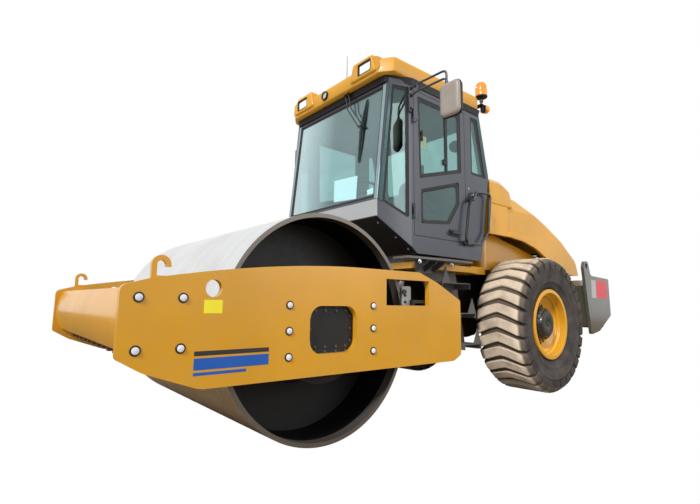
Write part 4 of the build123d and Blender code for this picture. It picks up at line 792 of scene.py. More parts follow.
def add_lugs(bm, axis):
    """Chevron lugs with bevelled edges, in the places of the CAD tyre's lugs."""
    edge_x = 0.262
    # Distance from the tyre's middle, radius of the lug's foot and of its top
    stations = [(edge_x, 0.590, 0.664), (0.2585, 0.590, 0.674), (0.213, 0.64, 0.7105), (0.203, 0.65, 0.7140)]
    stations += [(x, 0.66, 0.7146) for x in (0.16, 0.115, 0.07, 0.028, 0.0)]
    across = [(-x, base, top) for x, base, top in stations] + stations[-2::-1]
    lug_count = 30
    first_angle = 97.8
    bevel = 0.007
    mean_radius = 0.700
    for turn in range(lug_count):
        middle = -math.radians(first_angle + 360.0 / lug_count * turn)
        rings = []
        for x, base, top in across:
            share = abs(x) / edge_x
            lead = 0.045 - 0.090 * share ** 1.2
            half = 0.047 + 0.006 * share
            section = [(-half - bevel, base), (-half, top - bevel), (-half + bevel, top)]
            section += [(half - bevel, top), (half, top - bevel), (half + bevel, base)]
            ring = []
            for along, radius in section:
                angle = middle + (lead + along) / mean_radius
                spot = Vector((x, -radius * math.cos(angle), radius * math.sin(angle)))
                ring.append(bm.verts.new(axis + spot))
            rings.append(ring)
        skin(bm, rings, (0, -1))


# Pieces of the cab
DOOR_UPPER = [(1.262, 2.060), (1.900, 2.235), (1.900, 2.850), (1.240, 2.850)]
DOOR_LOWER = [(1.279, 1.640), (1.279, 1.960), (1.860, 2.130), (1.860, 1.900), (1.700, 1.680)]
REAR_QUARTER = [(2.075, 2.255), (2.075, 2.880), (2.190, 2.880), (2.320, 2.300), (2.320, 2.255)]
CORNER_PANE = [(-0.298, 1.800), (-0.026, 1.665), (-0.026, 2.900), (-0.199, 2.900)]


def side_place(side):
    """Placement on the outer face of a side window."""
    return flank(side, GLASS_X)


def corner_place(side):
    """Placement on the slanted face beside the windscreen, its origin at the door's pillar."""
    return facing(local(side * CAB_X, CORNER_POST_Y, 0.0), (side * 0.956, -0.2933, 0.0))


def on_side(corners, side):
    """Corners of a side window as seen on that side's placement."""
    return [(side * y, z) for y, z in corners]


def front_place():
    """Placement on the windscreen's outer face, its origin at the face's foot."""
    foot = local(0.0, SCREEN_FOOT_Y, SCREEN_FOOT_Z)
    return facing(foot, (0.0, -SCREEN_RISE, SCREEN_LEAN), (0.0, SCREEN_LEAN, SCREEN_RISE))


def window_rubbers():
    """Rubber around every pane and glossy borders on the pillars beside three of them."""
    cab = bmesh.new()
    door = bmesh.new()
    for side in (-1, 1):
        window_ring(cab, on_side(REAR_QUARTER, side), 0.030, 0.032, side_place(side), 0.0, 0.010)
        sunk = corner_place(side) @ Matrix.Translation((0.0, 0.0, -0.012))
        window_ring(cab, on_side(CORNER_PANE, side), 0.020, 0.030, sunk, 0.0, 0.008)
    window_ring(cab, on_side(DOOR_UPPER, -1), 0.030, 0.038, side_place(-1), 0.0, 0.010)
    window_ring(door, on_side(DOOR_UPPER, 1), 0.030, 0.038, side_place(1), 0.0, 0.010)
    window_ring(door, on_side(DOOR_LOWER, 1), 0.045, 0.036, side_place(1), 0.0, 0.010)
    window_ring(cab, box_corners(-0.666, 0.666, 0.0285, 1.096), 0.025, 0.022, front_place(), 0.0, 0.009)
    rear = facing(local(0.0, 2.378, 2.290), (0.0, 0.9743, 0.2254), (0.0, -0.2254, 0.9743))
    window_ring(cab, box_corners(-0.720, 0.720, 0.004, 0.595), 0.030, 0.030, rear, 0.0, 0.009)
    add_piece("window_rubber", cab, "rear_frame", "rubber")
    border = bmesh.new()
    pale = bmesh.new()
    front = [(-0.341, 1.812), (-0.298, 1.794), (-0.199, 2.900), (-0.222, 2.905)]
    back = [(2.192, 2.880), (2.238, 2.880), (2.372, 2.262), (2.322, 2.256)]
    for side in (-1, 1):
        slab(border, on_side(front, side), corner_place(side), 0.0004, 0.0050, bevel=0.0010)
        beside = box_corners(side * 0.6665, side * 0.7045, 0.004, 1.108)
        slab(pale, beside, front_place(), 0.0121, 0.0165, bevel=0.0010)
        slab(border, on_side(back, side), flank(side, CAB_X + SKIN_GAP), 0.0, 0.0030, bevel=0.0008)
    add_piece("pane_borders", border, "rear_frame", "plastic", "pane_border")
    add_piece("windscreen_borders", pale, "rear_frame", "plastic", "pale_border")
    add_piece("door_window_rubber", door, "door", "rubber")


def door_trim():
    """Post and grips of the sliding pane, the striker on the cab, the edge seal and a blank sheet with a
    painted glow.
    """
    bm = bmesh.new()
    place = side_place(1)
    slab(bm, box_corners(1.652, 1.690, 2.180, 2.836), place, -0.006, 0.008, bevel=0.003)
    slab(bm, box_corners(1.612, 1.652, 2.262, 2.318), place, 0.0, 0.020, bevel=0.004, radius=0.010)
    slab(bm, box_corners(1.300, 1.318, 2.43, 2.53), place, 0.0, 0.014, bevel=0.004, radius=0.006)
    add_piece("door_slide_post", bm, "door", "rubber", "black_trim")

    striker = bmesh.new()
    wall_x = 0.8003
    striker_z = 2.030
    cap_bolt(striker, local(wall_x, 2.020, 2.090), (1, 0, 0), 0.007)
    body = facing(local(wall_x, 2.105, striker_z), (1, 0, 0))
    slab(striker, box_corners(-0.028, 0.028, -0.017, 0.017), body, 0.0, 0.020, bevel=0.006, radius=0.012)
    rod(striker, [local(0.816, 2.098, striker_z), local(0.836, 2.096, striker_z)], [0.013, 0.011], 16)
    add_piece("cab_latch", striker, "rear_frame", "chrome", "bright")

    seal = bmesh.new()
    window_ring(seal, box_corners(1.1805, 1.9695, 1.5205, 2.8945), 0.010, 0.0045, place, -0.020, 0.0085)
    add_piece("door_gap_seal", seal, "rear_frame", "rubber")

    card = bmesh.new()
    pane_edge = DOOR_UPPER[0][0]
    sheet = box_corners(pane_edge + 0.045, pane_edge + 0.125, 2.37, 2.49)
    slab(card, sheet, place, -0.010, -0.0085, bevel=0.0004)
    add_piece("blank_door_card", card, "door", "plastic", "amber_card_painted_glow")


def front_cover():
    """Black panel with small bolts over the sloped underside of the cab's nose."""
    run = 0.409
    fall = 0.307
    front_y = 0.811
    slope = Vector((0.0, run, -fall)).normalized()
    normal = Vector((0.0, -fall, -run)).normalized()
    place = facing(local(0.0, front_y, 1.667), normal, -slope)
    length = 0.5114
    bend = length * (CORNER_POST_Y - front_y) / run
    thickness = 0.006
    corners = [(0.690, -0.006), (0.794, -bend), (0.794, 0.012 - length)]
    corners += [(-0.794, 0.012 - length), (-0.794, -bend), (-0.690, -0.006)]
    bm = bmesh.new()
    slab(bm, corners, place, SKIN_GAP, thickness, bevel=0.002)
    add_piece("nose_cover", bm, "rear_frame", "dark_paint", "black_trim")
    bolts = bmesh.new()
    for x, v in ((0.655, -0.08), (0.715, -0.28), (0.745, -0.44)):
        for side in (-1, 1):
            cap_bolt(bolts, place @ Vector((side * x, v, thickness)), normal, 0.007)
    for x in (-0.35, 0.0, 0.35):
        for v in (-0.05, -0.46):
            cap_bolt(bolts, place @ Vector((x, v, thickness)), normal, 0.007)
    add_piece("nose_cover_bolts", bolts, "rear_frame", "chrome", "bright")


def roof_outline(inset):
    """Roof seen from above, with bevelled corners, y from the drum's axis."""
    front = ROOF_FRONT_Y
    rear = ROOF_REAR_Y
    wide = ROOF_HALF_X
    fore = front + 0.095
    aft = 2.225
    corners = [(-0.680, front), (0.680, front), (wide, fore), (wide, aft), (wide - 0.090, rear)]
    corners += [(0.090 - wide, rear), (-wide, aft), (-wide, fore)]
    middle = (front + rear) / 2
    narrow = 1.0 - inset / wide
    short = 1.0 - inset / (rear - middle)
    return [Vector((p.x * narrow, middle + (p.y - middle) * short)) for p in rounded(corners, 0.045)]


def roof_moulding():
    """Moulded roof with a deep rim that rises to the rear and two lamp pods at its front corners."""
    place = Matrix.Translation(local(0.0, 0.0, 0.0))
    bm = bmesh.new()
    rings = []
    rear_lift = 0.024
    corner_lift = 0.012
    rise_length = 1.45
    # Height, inset and share of the lift
    levels = [(2.990, 0.060, 0.0), (2.986, 0.030, 0.0), (2.990, 0.008, 0.0), (3.000, 0.0, 0.0)]
    levels += [(3.104, 0.0, 1.0), (3.122, 0.007, 1.0), (3.135, 0.024, 1.0)]
    levels += [(3.144, 0.060, 1.0), (3.152, 0.160, 1.0), (3.156, 0.320, 1.0)]
    for z, inset, rise in levels:
        ring = []
        for point in roof_outline(inset):
            back = (point.y - ROOF_FRONT_Y) / rise_length
            corner = min(max((abs(point.x) - 0.60) / 0.12, 0.0), 1.0)
            lift = rise * (rear_lift * back + corner_lift * (1.0 - back) * corner)
            ring.append(bm.verts.new(place @ Vector((point.x, point.y, z + lift))))
        rings.append(ring)
    skin(bm, rings, (0, -1))
    bezels = bmesh.new()
    for side in (-1, 1):
        lamp_pod(bm, bezels, side)
    piece = add_piece("roof_moulding", bm, "rear_frame", "yellow", "roof", sharp=42.0)
    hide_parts("roof")
    rims = add_piece("roof_lamp_bezels", bezels, "rear_frame", "plastic", "black_trim")
    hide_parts("roof_lamps")

    seal = bmesh.new()
    seal_x = 0.808
    plan = [(-0.706, 0.915), (0.706, 0.915), (seal_x, CORNER_POST_Y)]
    plan += [(seal_x, 2.243), (-seal_x, 2.243), (-seal_x, CORNER_POST_Y)]
    rings = []
    for inset, z in ((0.012, 2.925), (0.0, 2.930), (-0.004, 2.960), (-0.012, 2.992), (0.030, 2.996)):
        rings.append(flat_ring(seal, rounded(shrunk(plan, inset), 0.030), place, z))
    skin(seal, rings)
    add_piece("roof_seal", seal, "rear_frame", "rubber", "black_trim")


def lamp_pod(bm, bezels, side):
    """Raised pod that runs back into the roof, with the recess of its lamp."""
    def section(y, top, inset):
        corners = [(0.300, 3.020), (0.668, 3.020), (0.606, top), (0.350, top)]
        return upright_ring(bm, rounded(shrunk(corners, inset), 0.018), y, side)

    def mouth(target, half_u, half_v, y, radius):
        corners = box_corners(LAMP_X - half_u, LAMP_X + half_u, LAMP_Z - half_v, LAMP_Z + half_v)
        return upright_ring(target, rounded(corners, radius), y, side)

    wedge = []
    for y, top, shoulder in ((1.330, 3.128, 3.122), (0.900, 3.198, 3.152), (0.838, 3.198, 3.152)):
        points = rounded([(0.520, 3.030), (0.700, 3.030), (0.688, shoulder), (0.585, top)], 0.016)
        wedge.append(upright_ring(bm, points, y, side))
    skin(bm, wedge, (-1,))
    rings = [section(1.330, 3.130, 0.030), section(0.900, 3.203, 0.0), section(0.838, 3.203, 0.0)]
    rings += [section(0.826, 3.199, 0.004), section(0.820, 3.190, 0.012)]
    rings += [mouth(bm, 0.092, 0.060, 0.820, 0.014), mouth(bm, 0.090, 0.058, 0.850, 0.014)]
    skin(bm, rings)
    rings = [mouth(bezels, 0.091, 0.059, 0.848, 0.014), mouth(bezels, 0.091, 0.059, 0.826, 0.014)]
    rings += [mouth(bezels, 0.088, 0.056, 0.822, 0.014), mouth(bezels, 0.078, 0.046, 0.824, 0.012)]
    rings += [mouth(bezels, 0.073, 0.042, 0.850, 0.010)]
    skin(bezels, rings, (-1,))


def roof_lenses():
    """Ribbed lenses and reflectors in the two lamps of the roof, and the round lamp between them."""
    lens = bmesh.new()
    bowl = bmesh.new()
    half_u = 0.076
    half_v = 0.0445
    columns = 30
    rows = 14
    for side in (-1, 1):
        place = facing(local(side * LAMP_X, 0.829, LAMP_Z), (0.0, -1.0, 0.0))
        grid = []
        for row in range(rows + 1):
            line = []
            for column in range(columns + 1):
                u = half_u * (2 * column / columns - 1)
                v = half_v * (2 * row / rows - 1)
                bulge = 0.008 * (1 - (u / half_u) ** 2) * (1 - (v / half_v) ** 2)
                rib = 0.0010 * math.sin(column * math.pi * 0.9)
                line.append(lens.verts.new(place @ Vector((u, v, -0.006 + bulge + rib))))
            grid.append(line)
        skin(lens, grid, closed=False)
        mouth = rounded(box_corners(-0.073, 0.073, -0.042, 0.042), 0.012)
        rings = []
        for scale, depth in ((1.0, -0.008), (0.86, -0.014), (0.55, -0.018), (0.2, -0.0195)):
            rings.append([bowl.verts.new(place @ Vector((p[0] * scale, p[1] * scale, depth))) for p in mouth])
        skin(bowl, rings, (-1,))
    add_piece("roof_lenses", lens, "rear_frame", "lens", "lens")
    add_piece("roof_reflectors", bowl, "rear_frame", "chrome", "bright")

    dark = bmesh.new()
    glass = bmesh.new()
    place = facing(local(-0.105, ROOF_FRONT_Y, 3.060), (0.0, -1.0, 0.0))
    rim = [(0.048, -0.020), (0.048, 0.014), (0.044, 0.022), (0.038, 0.020), (0.036, 0.008), (0.0, 0.006)]
    lathe(dark, rim, place, 40)
    lathe(glass, [(0.036, 0.009), (0.028, 0.013), (0.012, 0.016), (0.0, 0.0165)], place, 32)
    add_piece("round_lamp_rim", dark, "rear_frame", "plastic", "black_trim")
    add_piece("round_lamp_glass", glass, "rear_frame", "lens", "dark_lens")


def beacon():
    """Ribbed amber dome on a stem, with its bracket, the rear amber lamp and a rubber knob."""
    x = 0.788
    y = 2.320
    amber = bmesh.new()
    dome = [(0.058, 3.190), (0.064, 3.192), (0.064, 3.232), (0.061, 3.238), (0.0595, 3.262), (0.0555, 3.300)]
    dome += [(0.047, 3.330), (0.032, 3.348), (0.015, 3.354), (0.0, 3.355)]
    place = Matrix.Translation(local(x, y, 0.0))
    lathe(amber, dome, place, 48)
    rib_count = 18
    rib = [(0.0615, 3.240), (0.0605, 3.262), (0.0565, 3.300), (0.048, 3.329), (0.034, 3.345)]
    for step in range(rib_count):
        angle = math.tau * step / rib_count
        across = Vector((math.cos(angle), math.sin(angle), 0.0))
        rod(amber, [local(x, y, z) + across * radius for radius, z in rib], 0.0028, 6)
    rear = facing(local(x, y + 0.075, 3.062), (0.25, 0.95, 0.0))
    lens = [(0.044, 0.0), (0.044, 0.016), (0.040, 0.026), (0.026, 0.033), (0.010, 0.036), (0.0, 0.036)]
    lathe(amber, lens, rear, 36)
    dark = bmesh.new()
    base = [(0.0, 3.172), (0.058, 3.173), (0.065, 3.178), (0.065, 3.190), (0.058, 3.194), (0.030, 3.196)]
    lathe(dark, base, place, 40)
    lathe(amber, [(0.0, -0.044), (0.036, -0.040), (0.047, -0.030), (0.047, 0.002), (0.044, 0.004)], rear, 36)
    plate_top = 3.086
    for inner_x, span, low in (
        (0.700, (2.270, 2.345), 3.078),
        (0.785, (2.300, 2.306), 3.000),
        (0.785, (2.340, 2.352), 3.010),
    ):
        bar(dark, (inner_x, 0.822), span, (low, plate_top), bevel=0.002)
    knob = facing(local(0.795, 2.335, 3.008), (0.0, 0.0, -1.0))
    lathe(dark, [(0.012, -0.02), (0.020, 0.0), (0.023, 0.014), (0.016, 0.030), (0.0, 0.034)], knob, 20)
    piece = add_piece("beacon_dome", amber, "rear_frame", "amber", "beacon", sharp=50.0)
    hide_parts("beacon")
    add_piece("beacon_base", dark, "rear_frame", "plastic", "black_trim")
    metal = bmesh.new()
    stem = [(0.013, 3.080), (0.013, 3.120), (0.020, 3.126), (0.020, 3.146), (0.012, 3.152), (0.012, 3.180)]
    lathe(metal, stem, place, 24)
    cap_bolt(metal, local(0.740, 2.308, plate_top), (0, 0, 1), 0.008)
    cap_bolt(metal, local(x, y, plate_top + SKIN_GAP), (0, 0, 1), 0.016)
    add_piece("beacon_stem", metal, "rear_frame", "chrome", "dull_bolt")


def antenna():
    """Thin whip in a rubber foot on the roof."""
    foot = local(0.142, 0.925, 3.140)
    bm = bmesh.new()
    boot = [(0.022, -0.01), (0.022, 0.004), (0.014, 0.012), (0.009, 0.040), (0.006, 0.048), (0.0, 0.048)]
    lathe(bm, boot, Matrix.Translation(foot), 20)
    rod(bm, [foot + Vector((0.0, 0.0, z)) for z in (0.04, 0.15, 0.290)], [0.0035, 0.0030, 0.0020], 8)
    add_piece("antenna", bm, "rear_frame", "rubber")


def wiper():
    """Pantograph wiper: two arms from the roof's edge and a long blade on the windscreen."""
    place = front_place()

    def glass_rod(bm, points, radius, sides):
        """Rod through points given by x, height and distance off the windscreen."""
        spots = [place @ Vector((x, (z - SCREEN_FOOT_Z) / SCREEN_RISE, lift)) for x, z, lift in points]
        rod(bm, spots, radius, sides)

    arms = bmesh.new()
    glass_rod(arms, [(0.170, 2.965, 0.060), (0.215, 2.80, 0.050), (0.395, 2.560, 0.034)], 0.0055, 10)
    glass_rod(arms, [(0.215, 2.965, 0.060), (0.265, 2.80, 0.050), (0.420, 2.600, 0.034)], 0.0055, 10)
    hub_x = 0.412
    hub_z = 2.575
    glass_rod(arms, [(0.385, hub_z, 0.036), (0.440, hub_z, 0.036)], 0.009, 8)
    glass_rod(arms, [(hub_x, hub_z, 0.012), (hub_x, hub_z, 0.040)], 0.012, 12)
    for x in (0.170, 0.215):
        glass_rod(arms, [(x, 2.955, 0.010), (x, 2.965, 0.075)], 0.013, 12)
    add_piece("wiper_arms", arms, "rear_frame", "black_steel")
    blade = bmesh.new()
    spine = [(0.446, 2.835, 0.013), (0.430, 2.70, 0.020), (hub_x, hub_z, 0.024)]
    spine += [(0.407, 2.40, 0.020), (0.403, 2.235, 0.013)]
    glass_rod(blade, spine, [0.004, 0.009, 0.012, 0.009, 0.004], 8)
    glass_rod(blade, [(0.448, 2.85, 0.006), (hub_x, hub_z, 0.006), (0.401, 2.22, 0.006)], 0.0055, 6)
    add_piece("wiper_blade", blade, "rear_frame", "rubber")


def windscreen_cards():
    """Blank sheets behind the windscreen, with a painted glow that keeps them bright behind the glass."""
    bm = bmesh.new()
    place = front_place() @ Matrix.Translation((0.0, 0.0, -0.010))
    large = [(0.060, 0.085), (0.395, 0.060), (0.385, 0.290), (0.035, 0.312)]
    small = [(0.545, 0.068), (0.625, 0.070), (0.620, 0.126), (0.538, 0.118)]
    for corners in (large, small):
        slab(bm, corners, place, 0.0, 0.0015, bevel=0.0004)
    add_piece("blank_cards", bm, "rear_frame", "plastic", "white_card_painted_glow")


def mirror_place(side, y):
    """Placement of a mirror case, its z axis to the front; the right one is folded inward."""
    turn = Matrix.Rotation(math.radians(MIRROR_TURN[side]), 4, "Z")
    middle = local(side * MIRROR_X[side], MIRROR_Y, MIRROR_Z)
    return Matrix.Translation(middle) @ turn @ facing((0.0, y - MIRROR_Y, 0.0), (0.0, -1.0, 0.0))


def case_rings(bm, place, levels):
    """Rings of a mirror case, each given by its inset and its height."""
    half_u, half_v = MIRROR_HALF
    rings = []
    for inset, height in levels:
        corners = shrunk(box_corners(-half_u, half_u, -half_v, half_v), inset)
        rings.append(flat_ring(bm, rounded(corners, 0.048 - inset * 0.5, 8), place, height))
    return rings


def mirror_cases():
    """Rounded mirror cases with a moulded back, and the double tubes that carry them."""
    backs = bmesh.new()
    rims = bmesh.new()
    tubes = bmesh.new()
    half_v = MIRROR_HALF[1]
    back_levels = [(0.0, 0.004), (0.002, 0.018), (0.010, 0.028), (0.024, 0.0325), (0.040, 0.034)]
    rim_levels = [(0.010, 0.005), (-0.004, 0.004), (-0.005, -0.010), (0.002, -0.030), (0.010, -0.032)]
    rim_levels += [(0.012, -0.020), (0.014, -0.020)]
    for side in (-1, 1):
        place = mirror_place(side, MIRROR_Y)
        rings = case_rings(backs, place, back_levels)
        points = rounded(box_corners(-0.045, 0.045, 0.020 - half_v + 0.06, half_v - 0.070), 0.012, 8)
        rings.append(flat_ring(backs, points, place, 0.0305))
        skin(backs, rings, (-1,))
        skin(rims, case_rings(rims, place, rim_levels), (-1,))
        for z, drop in ((UPPER_ARM_Z, LOWER_ARM_Z), (LOWER_ARM_Z, 2.740)):
            rise = z + 0.020
            reach = MIRROR_X[side] - 0.040
            path = [(0.782, z), (min(0.840, reach - 0.065), z + 0.009), (min(0.872, reach - 0.058), rise)]
            path += [(reach - 0.050, rise), (reach - 0.028, rise - 0.003), (reach - 0.012, rise - 0.012)]
            path += [(reach - 0.003, rise - 0.028), (reach, rise - 0.050), (reach, drop)]
            rod(tubes, [local(side * x, MIRROR_Y, height) for x, height in path], 0.010, 14)
        tie = min(0.885, reach - 0.045)
        for x, ends, radius, sides in ((tie, (2.830, 2.903), 0.007, 12), (reach, (2.800, 2.735), 0.015, 14)):
            rod(tubes, [local(side * x, MIRROR_Y, z) for z in ends], radius, sides)
    piece = add_piece("mirror_backs", backs, "rear_frame", "plastic", "taupe", sharp=60.0)
    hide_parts("mirrors")
    add_piece("mirror_rims", rims, "rear_frame", "plastic", "black_trim", sharp=50.0)
    add_piece("mirror_tubes", tubes, "rear_frame", "plastic", "tube_grey", sharp=60.0)


def mirror_glass():
    """Silvered glass in the mirror cases and the clamps of their tubes."""
    bm = bmesh.new()
    clamps = bmesh.new()
    half_u, half_v = MIRROR_HALF
    rim = 0.012
    wall_x = CAB_X + SKIN_GAP
    for side in (-1, 1):
        place = mirror_place(side, 1.160) @ Matrix.Rotation(math.pi, 4, "Y")
        corners = box_corners(rim - half_u, half_u - rim, rim - half_v, half_v - rim)
        slab(bm, corners, place, -0.004, 0.001, bevel=0.0015, radius=0.038)
        for z in (LOWER_ARM_Z, UPPER_ARM_Z):
            ends = [local(side * wall_x, MIRROR_Y, z + 0.003), local(side * 0.826, MIRROR_Y, z + 0.012)]
            rod(clamps, ends, 0.019, 16)
        back = flank(side, wall_x, MIRROR_Y, LOWER_ARM_Z)
        slab(clamps, box_corners(-0.022, 0.022, -0.155, 0.105), back, 0.0, 0.010, bevel=0.003, radius=0.010)
        rod(clamps, [local(side * x, MIRROR_Y, 2.700) for x in (0.806, 0.824)], 0.012, 6)
    add_piece("mirror_glass", bm, "rear_frame", "chrome", "mirror")
    add_piece("mirror_clamps", clamps, "rear_frame", "black_steel", "dull_bolt")


def rail_clamps():
    """Front legs of the grab rails, with a clamp collar and a screw at both ends."""
    bm = bmesh.new()
    leg = [(2.035, 1.975), (1.985, 1.950), (1.962, 1.905), (1.900, 1.585), (1.902, 1.545), (1.930, 1.516)]
    collar = [(0.030, 0.0), (0.030, 0.006), (0.024, 0.010), (0.0195, 0.010), (0.0195, 0.0)]
    for side in (-1, 1):
        for y, z in (leg[0], leg[-1]):
            lathe(bm, collar, flank(side, CAB_X + SKIN_GAP, y, z), 24)
            cap_bolt(bm, local(side * 0.8305, y, z + 0.028), (side, 0, 0), 0.006)
        rod(bm, [local(side * RAIL_X, y, z) for y, z in leg], 0.0135, 14)
    add_piece("rail_clamps", bm, "rear_frame", "black_steel", "frame_black")


# Soft pieces in the cab
def pad(name, size, centre, tilt, seams):
    """Crowned cushion with sewn channels; sizes are half lengths."""
    crown = 0.012
    seam_depth = 0.007
    seam_width = 0.035
    bm = bmesh.new()
    bmesh.ops.create_cube(bm, size=2.0)
    bmesh.ops.subdivide_edges(bm, edges=bm.edges[:], cuts=36, use_grid_fill=True)
    place = Matrix.Translation(centre) @ Matrix.Rotation(math.radians(tilt), 4, "X")
    for vert in bm.verts:
        p = vert.co
        norm = (abs(p.x) ** 7 + abs(p.y) ** 7 + abs(p.z) ** 7) ** (1 / 7)
        q = p / norm
        swell = (1 - abs(q.x) ** 2.4) * (1 - abs(q.y) ** 2.4) if abs(q.z) > 0.7 else 0.0
        groove = sum(math.exp(-(((q.x - seam) / seam_width) ** 2)) for seam in seams)
        groove += math.exp(-((q.z / 0.05) ** 2)) * 0.4 if abs(q.z) < 0.4 else 0.0
        shrink = 1.0 - 0.012 * groove
        height = size[2] + crown * swell - seam_depth * groove
        vert.co = place @ Vector((q.x * size[0] * shrink, q.y * size[1] * shrink, q.z * height))
    piece = add_piece(name, bm, "rear_frame", "fabric", sharp=60.0)
    return piece


def operator_seat():
    """Upholstered seat with head and arm rests on a suspension base."""
    cushion = pad("seat_cushion", (0.240, 0.228, 0.052), local(0.0, 1.862, 1.800), 3.5, (-0.5, 0.5))
    pad("seat_back", (0.225, 0.275, 0.046), local(0.0, 2.092, 2.085), 84.0, (-0.5, 0.5))
    pad("seat_head_rest", (0.125, 0.098, 0.030), local(0.0, 2.112, 2.440), 88.0, ())
    for side, name in ((-1, "right"), (1, "left")):
        pad("seat_arm_" + name, (0.033, 0.195, 0.024), local(side * 0.290, 1.910, 2.002), 0.0, ())
    base = bmesh.new()
    for step in range(7):
        z = 1.452 + step * 0.034
        grow = 0.010 if step % 2 else 0.0
        bar(base, (-0.165 - grow, 0.165 + grow), (1.790 - grow, 2.020 + grow), (z, z + 0.036), bevel=0.012)
    bar(base, (-0.178, 0.178), (1.772, 2.038), (CONSOLE_FOOT_Z, 1.455), bevel=0.008)
    bar(base, (-0.200, 0.200), (1.700, 2.060), (1.690, 1.756), bevel=0.010)
    for side in (-1, 1):
        bar(base, (side * 0.232, side * 0.262), (2.050, 2.098), (1.800, 2.000), bevel=0.006)
        rod(base, [local(side * 0.055, 2.100, 2.30), local(side * 0.055, 2.106, 2.40)], 0.007, 10)
    bar(base, (-0.255, 0.255), (2.052, 2.096), (1.780, 1.835), bevel=0.006)
    add_piece("seat_base", base, "rear_frame", "plastic")
    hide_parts("seat")


def cab_interior():
    """Side consoles with a travel lever, a fan and the instrument panel with its dials."""
    bm = bmesh.new()
    bar(bm, (-0.520, -0.345), (1.560, 2.080), (CONSOLE_FOOT_Z, 1.900), bevel=0.020)
    bar(bm, (0.345, 0.470), (1.760, 2.080), (CONSOLE_FOOT_Z, 1.860), bevel=0.020)
    lever_x = -0.430
    stick = [local(lever_x, y, z) for y, z in ((1.660, 1.895), (1.640, 2.020), (1.610, 2.075))]
    rod(bm, stick, [0.009, 0.008, 0.008], 12)
    boot = [(0.045, 0.0), (0.040, 0.012), (0.028, 0.030), (0.014, 0.050), (0.010, 0.055)]
    lathe(bm, boot, Matrix.Translation(local(lever_x, 1.660, 1.898)), 20)
    knob = [(0.0, -0.030), (0.014, -0.026), (0.024, -0.008), (0.026, 0.008), (0.018, 0.026), (0.0, 0.034)]
    lathe(bm, knob, Matrix.Translation(local(lever_x, 1.606, 2.095)), 20)
    fan = [(0.0, -0.03), (0.030, -0.03), (0.062, -0.012), (0.066, 0.0), (0.062, 0.012)]
    fan += [(0.050, 0.010), (0.012, 0.02), (0.0, 0.022)]
    lathe(bm, fan, facing(local(0.690, 1.965, 2.560), (0.55, -0.80, 0.0)), 28)
    rod(bm, [local(0.700, 1.985, 2.56), local(0.745, 2.02, 2.56)], 0.010, 10)
    add_piece("cab_controls", bm, "rear_frame", "plastic", "black_trim")
    dial = bmesh.new()
    panel = facing(local(0.0, 1.300, 2.010), (0.0, 0.584, 0.812), (0.0, -0.812, 0.584))
    slab(dial, box_corners(-0.150, 0.150, -0.055, 0.050), panel, -0.004, 0.003, bevel=0.002, radius=0.012)
    rim = [(0.036, 0.002), (0.036, 0.009), (0.032, 0.011), (0.030, 0.006), (0.0, 0.006)]
    for x in (-0.10, 0.0, 0.10):
        lathe(dial, rim, panel @ Matrix.Translation((x, 0.0, 0.0)), 28)
    add_piece("instrument_panel", dial, "rear_frame", "plastic", "dark_lens")


# Pieces of the hood and the rear frame
def hood_cowl():
    """Squarer cover over the front of the hood, right behind the cab."""
    bm = bmesh.new()
    rings = []
    for y, top in ((2.484, 2.324), (2.745, 2.320), (2.895, 2.260), (2.935, 2.165)):
        corners = [(-0.757, 2.020), (0.757, 2.020)]
        corners += [(0.750, top - 0.050), (0.702, top), (-0.702, top), (-0.750, top - 0.050)]
        rings.append(upright_ring(bm, rounded(corners, 0.020), y))
    skin(bm, rings, (0, -1))
    add_piece("hood_cowl", bm, "hood", "yellow", sharp=30.0)


def platform_bolts():
    """Bright bolt heads on the outer edge of both platforms."""
    bm = bmesh.new()
    low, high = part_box("platform")
    for side in (-1, 1):
        for y in (1.14, 1.59):
            cap_bolt(bm, local(side * (high[0] - 0.035), y, low[2] + 0.075), (side, 0, 0), 0.013)
    add_piece("platform_bolts", bm, "rear_frame", "chrome", "bright")


def tail_sheets():
    """Blank reflective sheets on the outer faces of the tail plates."""
    red = bmesh.new()
    white = bmesh.new()
    for side in (-1, 1):
        place = flank(side, TAIL_X)
        for bm, y0, y1 in ((white, 4.215, 4.355), (red, 4.360, 4.695)):
            slab(bm, box_corners(side * y0, side * y1, 1.015, 1.240), place, FILM_GAP, 0.0014, bevel=0.0004)
    add_piece("tail_sheet_red", red, "rear_frame", "tail_grey", "sheet_red")
    add_piece("tail_sheet_white", white, "rear_frame", "tail_grey", "light_steel")


def grille_mesh():
    """Fine wire mesh behind the grille's bars."""
    low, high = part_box("rear_grille")
    bm = bmesh.new()
    y = low[1] + 0.012
    edge = 0.01
    wire = 0.0013
    columns = 60
    rows = 24
    for step in range(columns + 1):
        x = low[0] + edge + (high[0] - low[0] - 2 * edge) * step / columns
        rod(bm, [(x, y, low[2] + edge), (x, y, high[2] - edge)], wire, 4)
    for step in range(rows + 1):
        z = low[2] + edge + (high[2] - low[2] - 2 * edge) * step / rows
        rod(bm, [(low[0] + edge, y, z), (high[0] - edge, y, z)], wire, 4)
    add_piece("grille_mesh", bm, "hood", "dark_paint")


plate_bolts()
port_bolts()
plate_marks()
window_fitting()
scraper_fixings()
wheel_parts(1, "left")
wheel_parts(-1, "right")
window_rubbers()
door_trim()
front_cover()
roof_moulding()
roof_lenses()
beacon()
antenna()
wiper()
windscreen_cards()
mirror_cases()
mirror_glass()
rail_clamps()
operator_seat()
cab_interior()
hood_cowl()
platform_bolts()
tail_sheets()
grille_mesh()


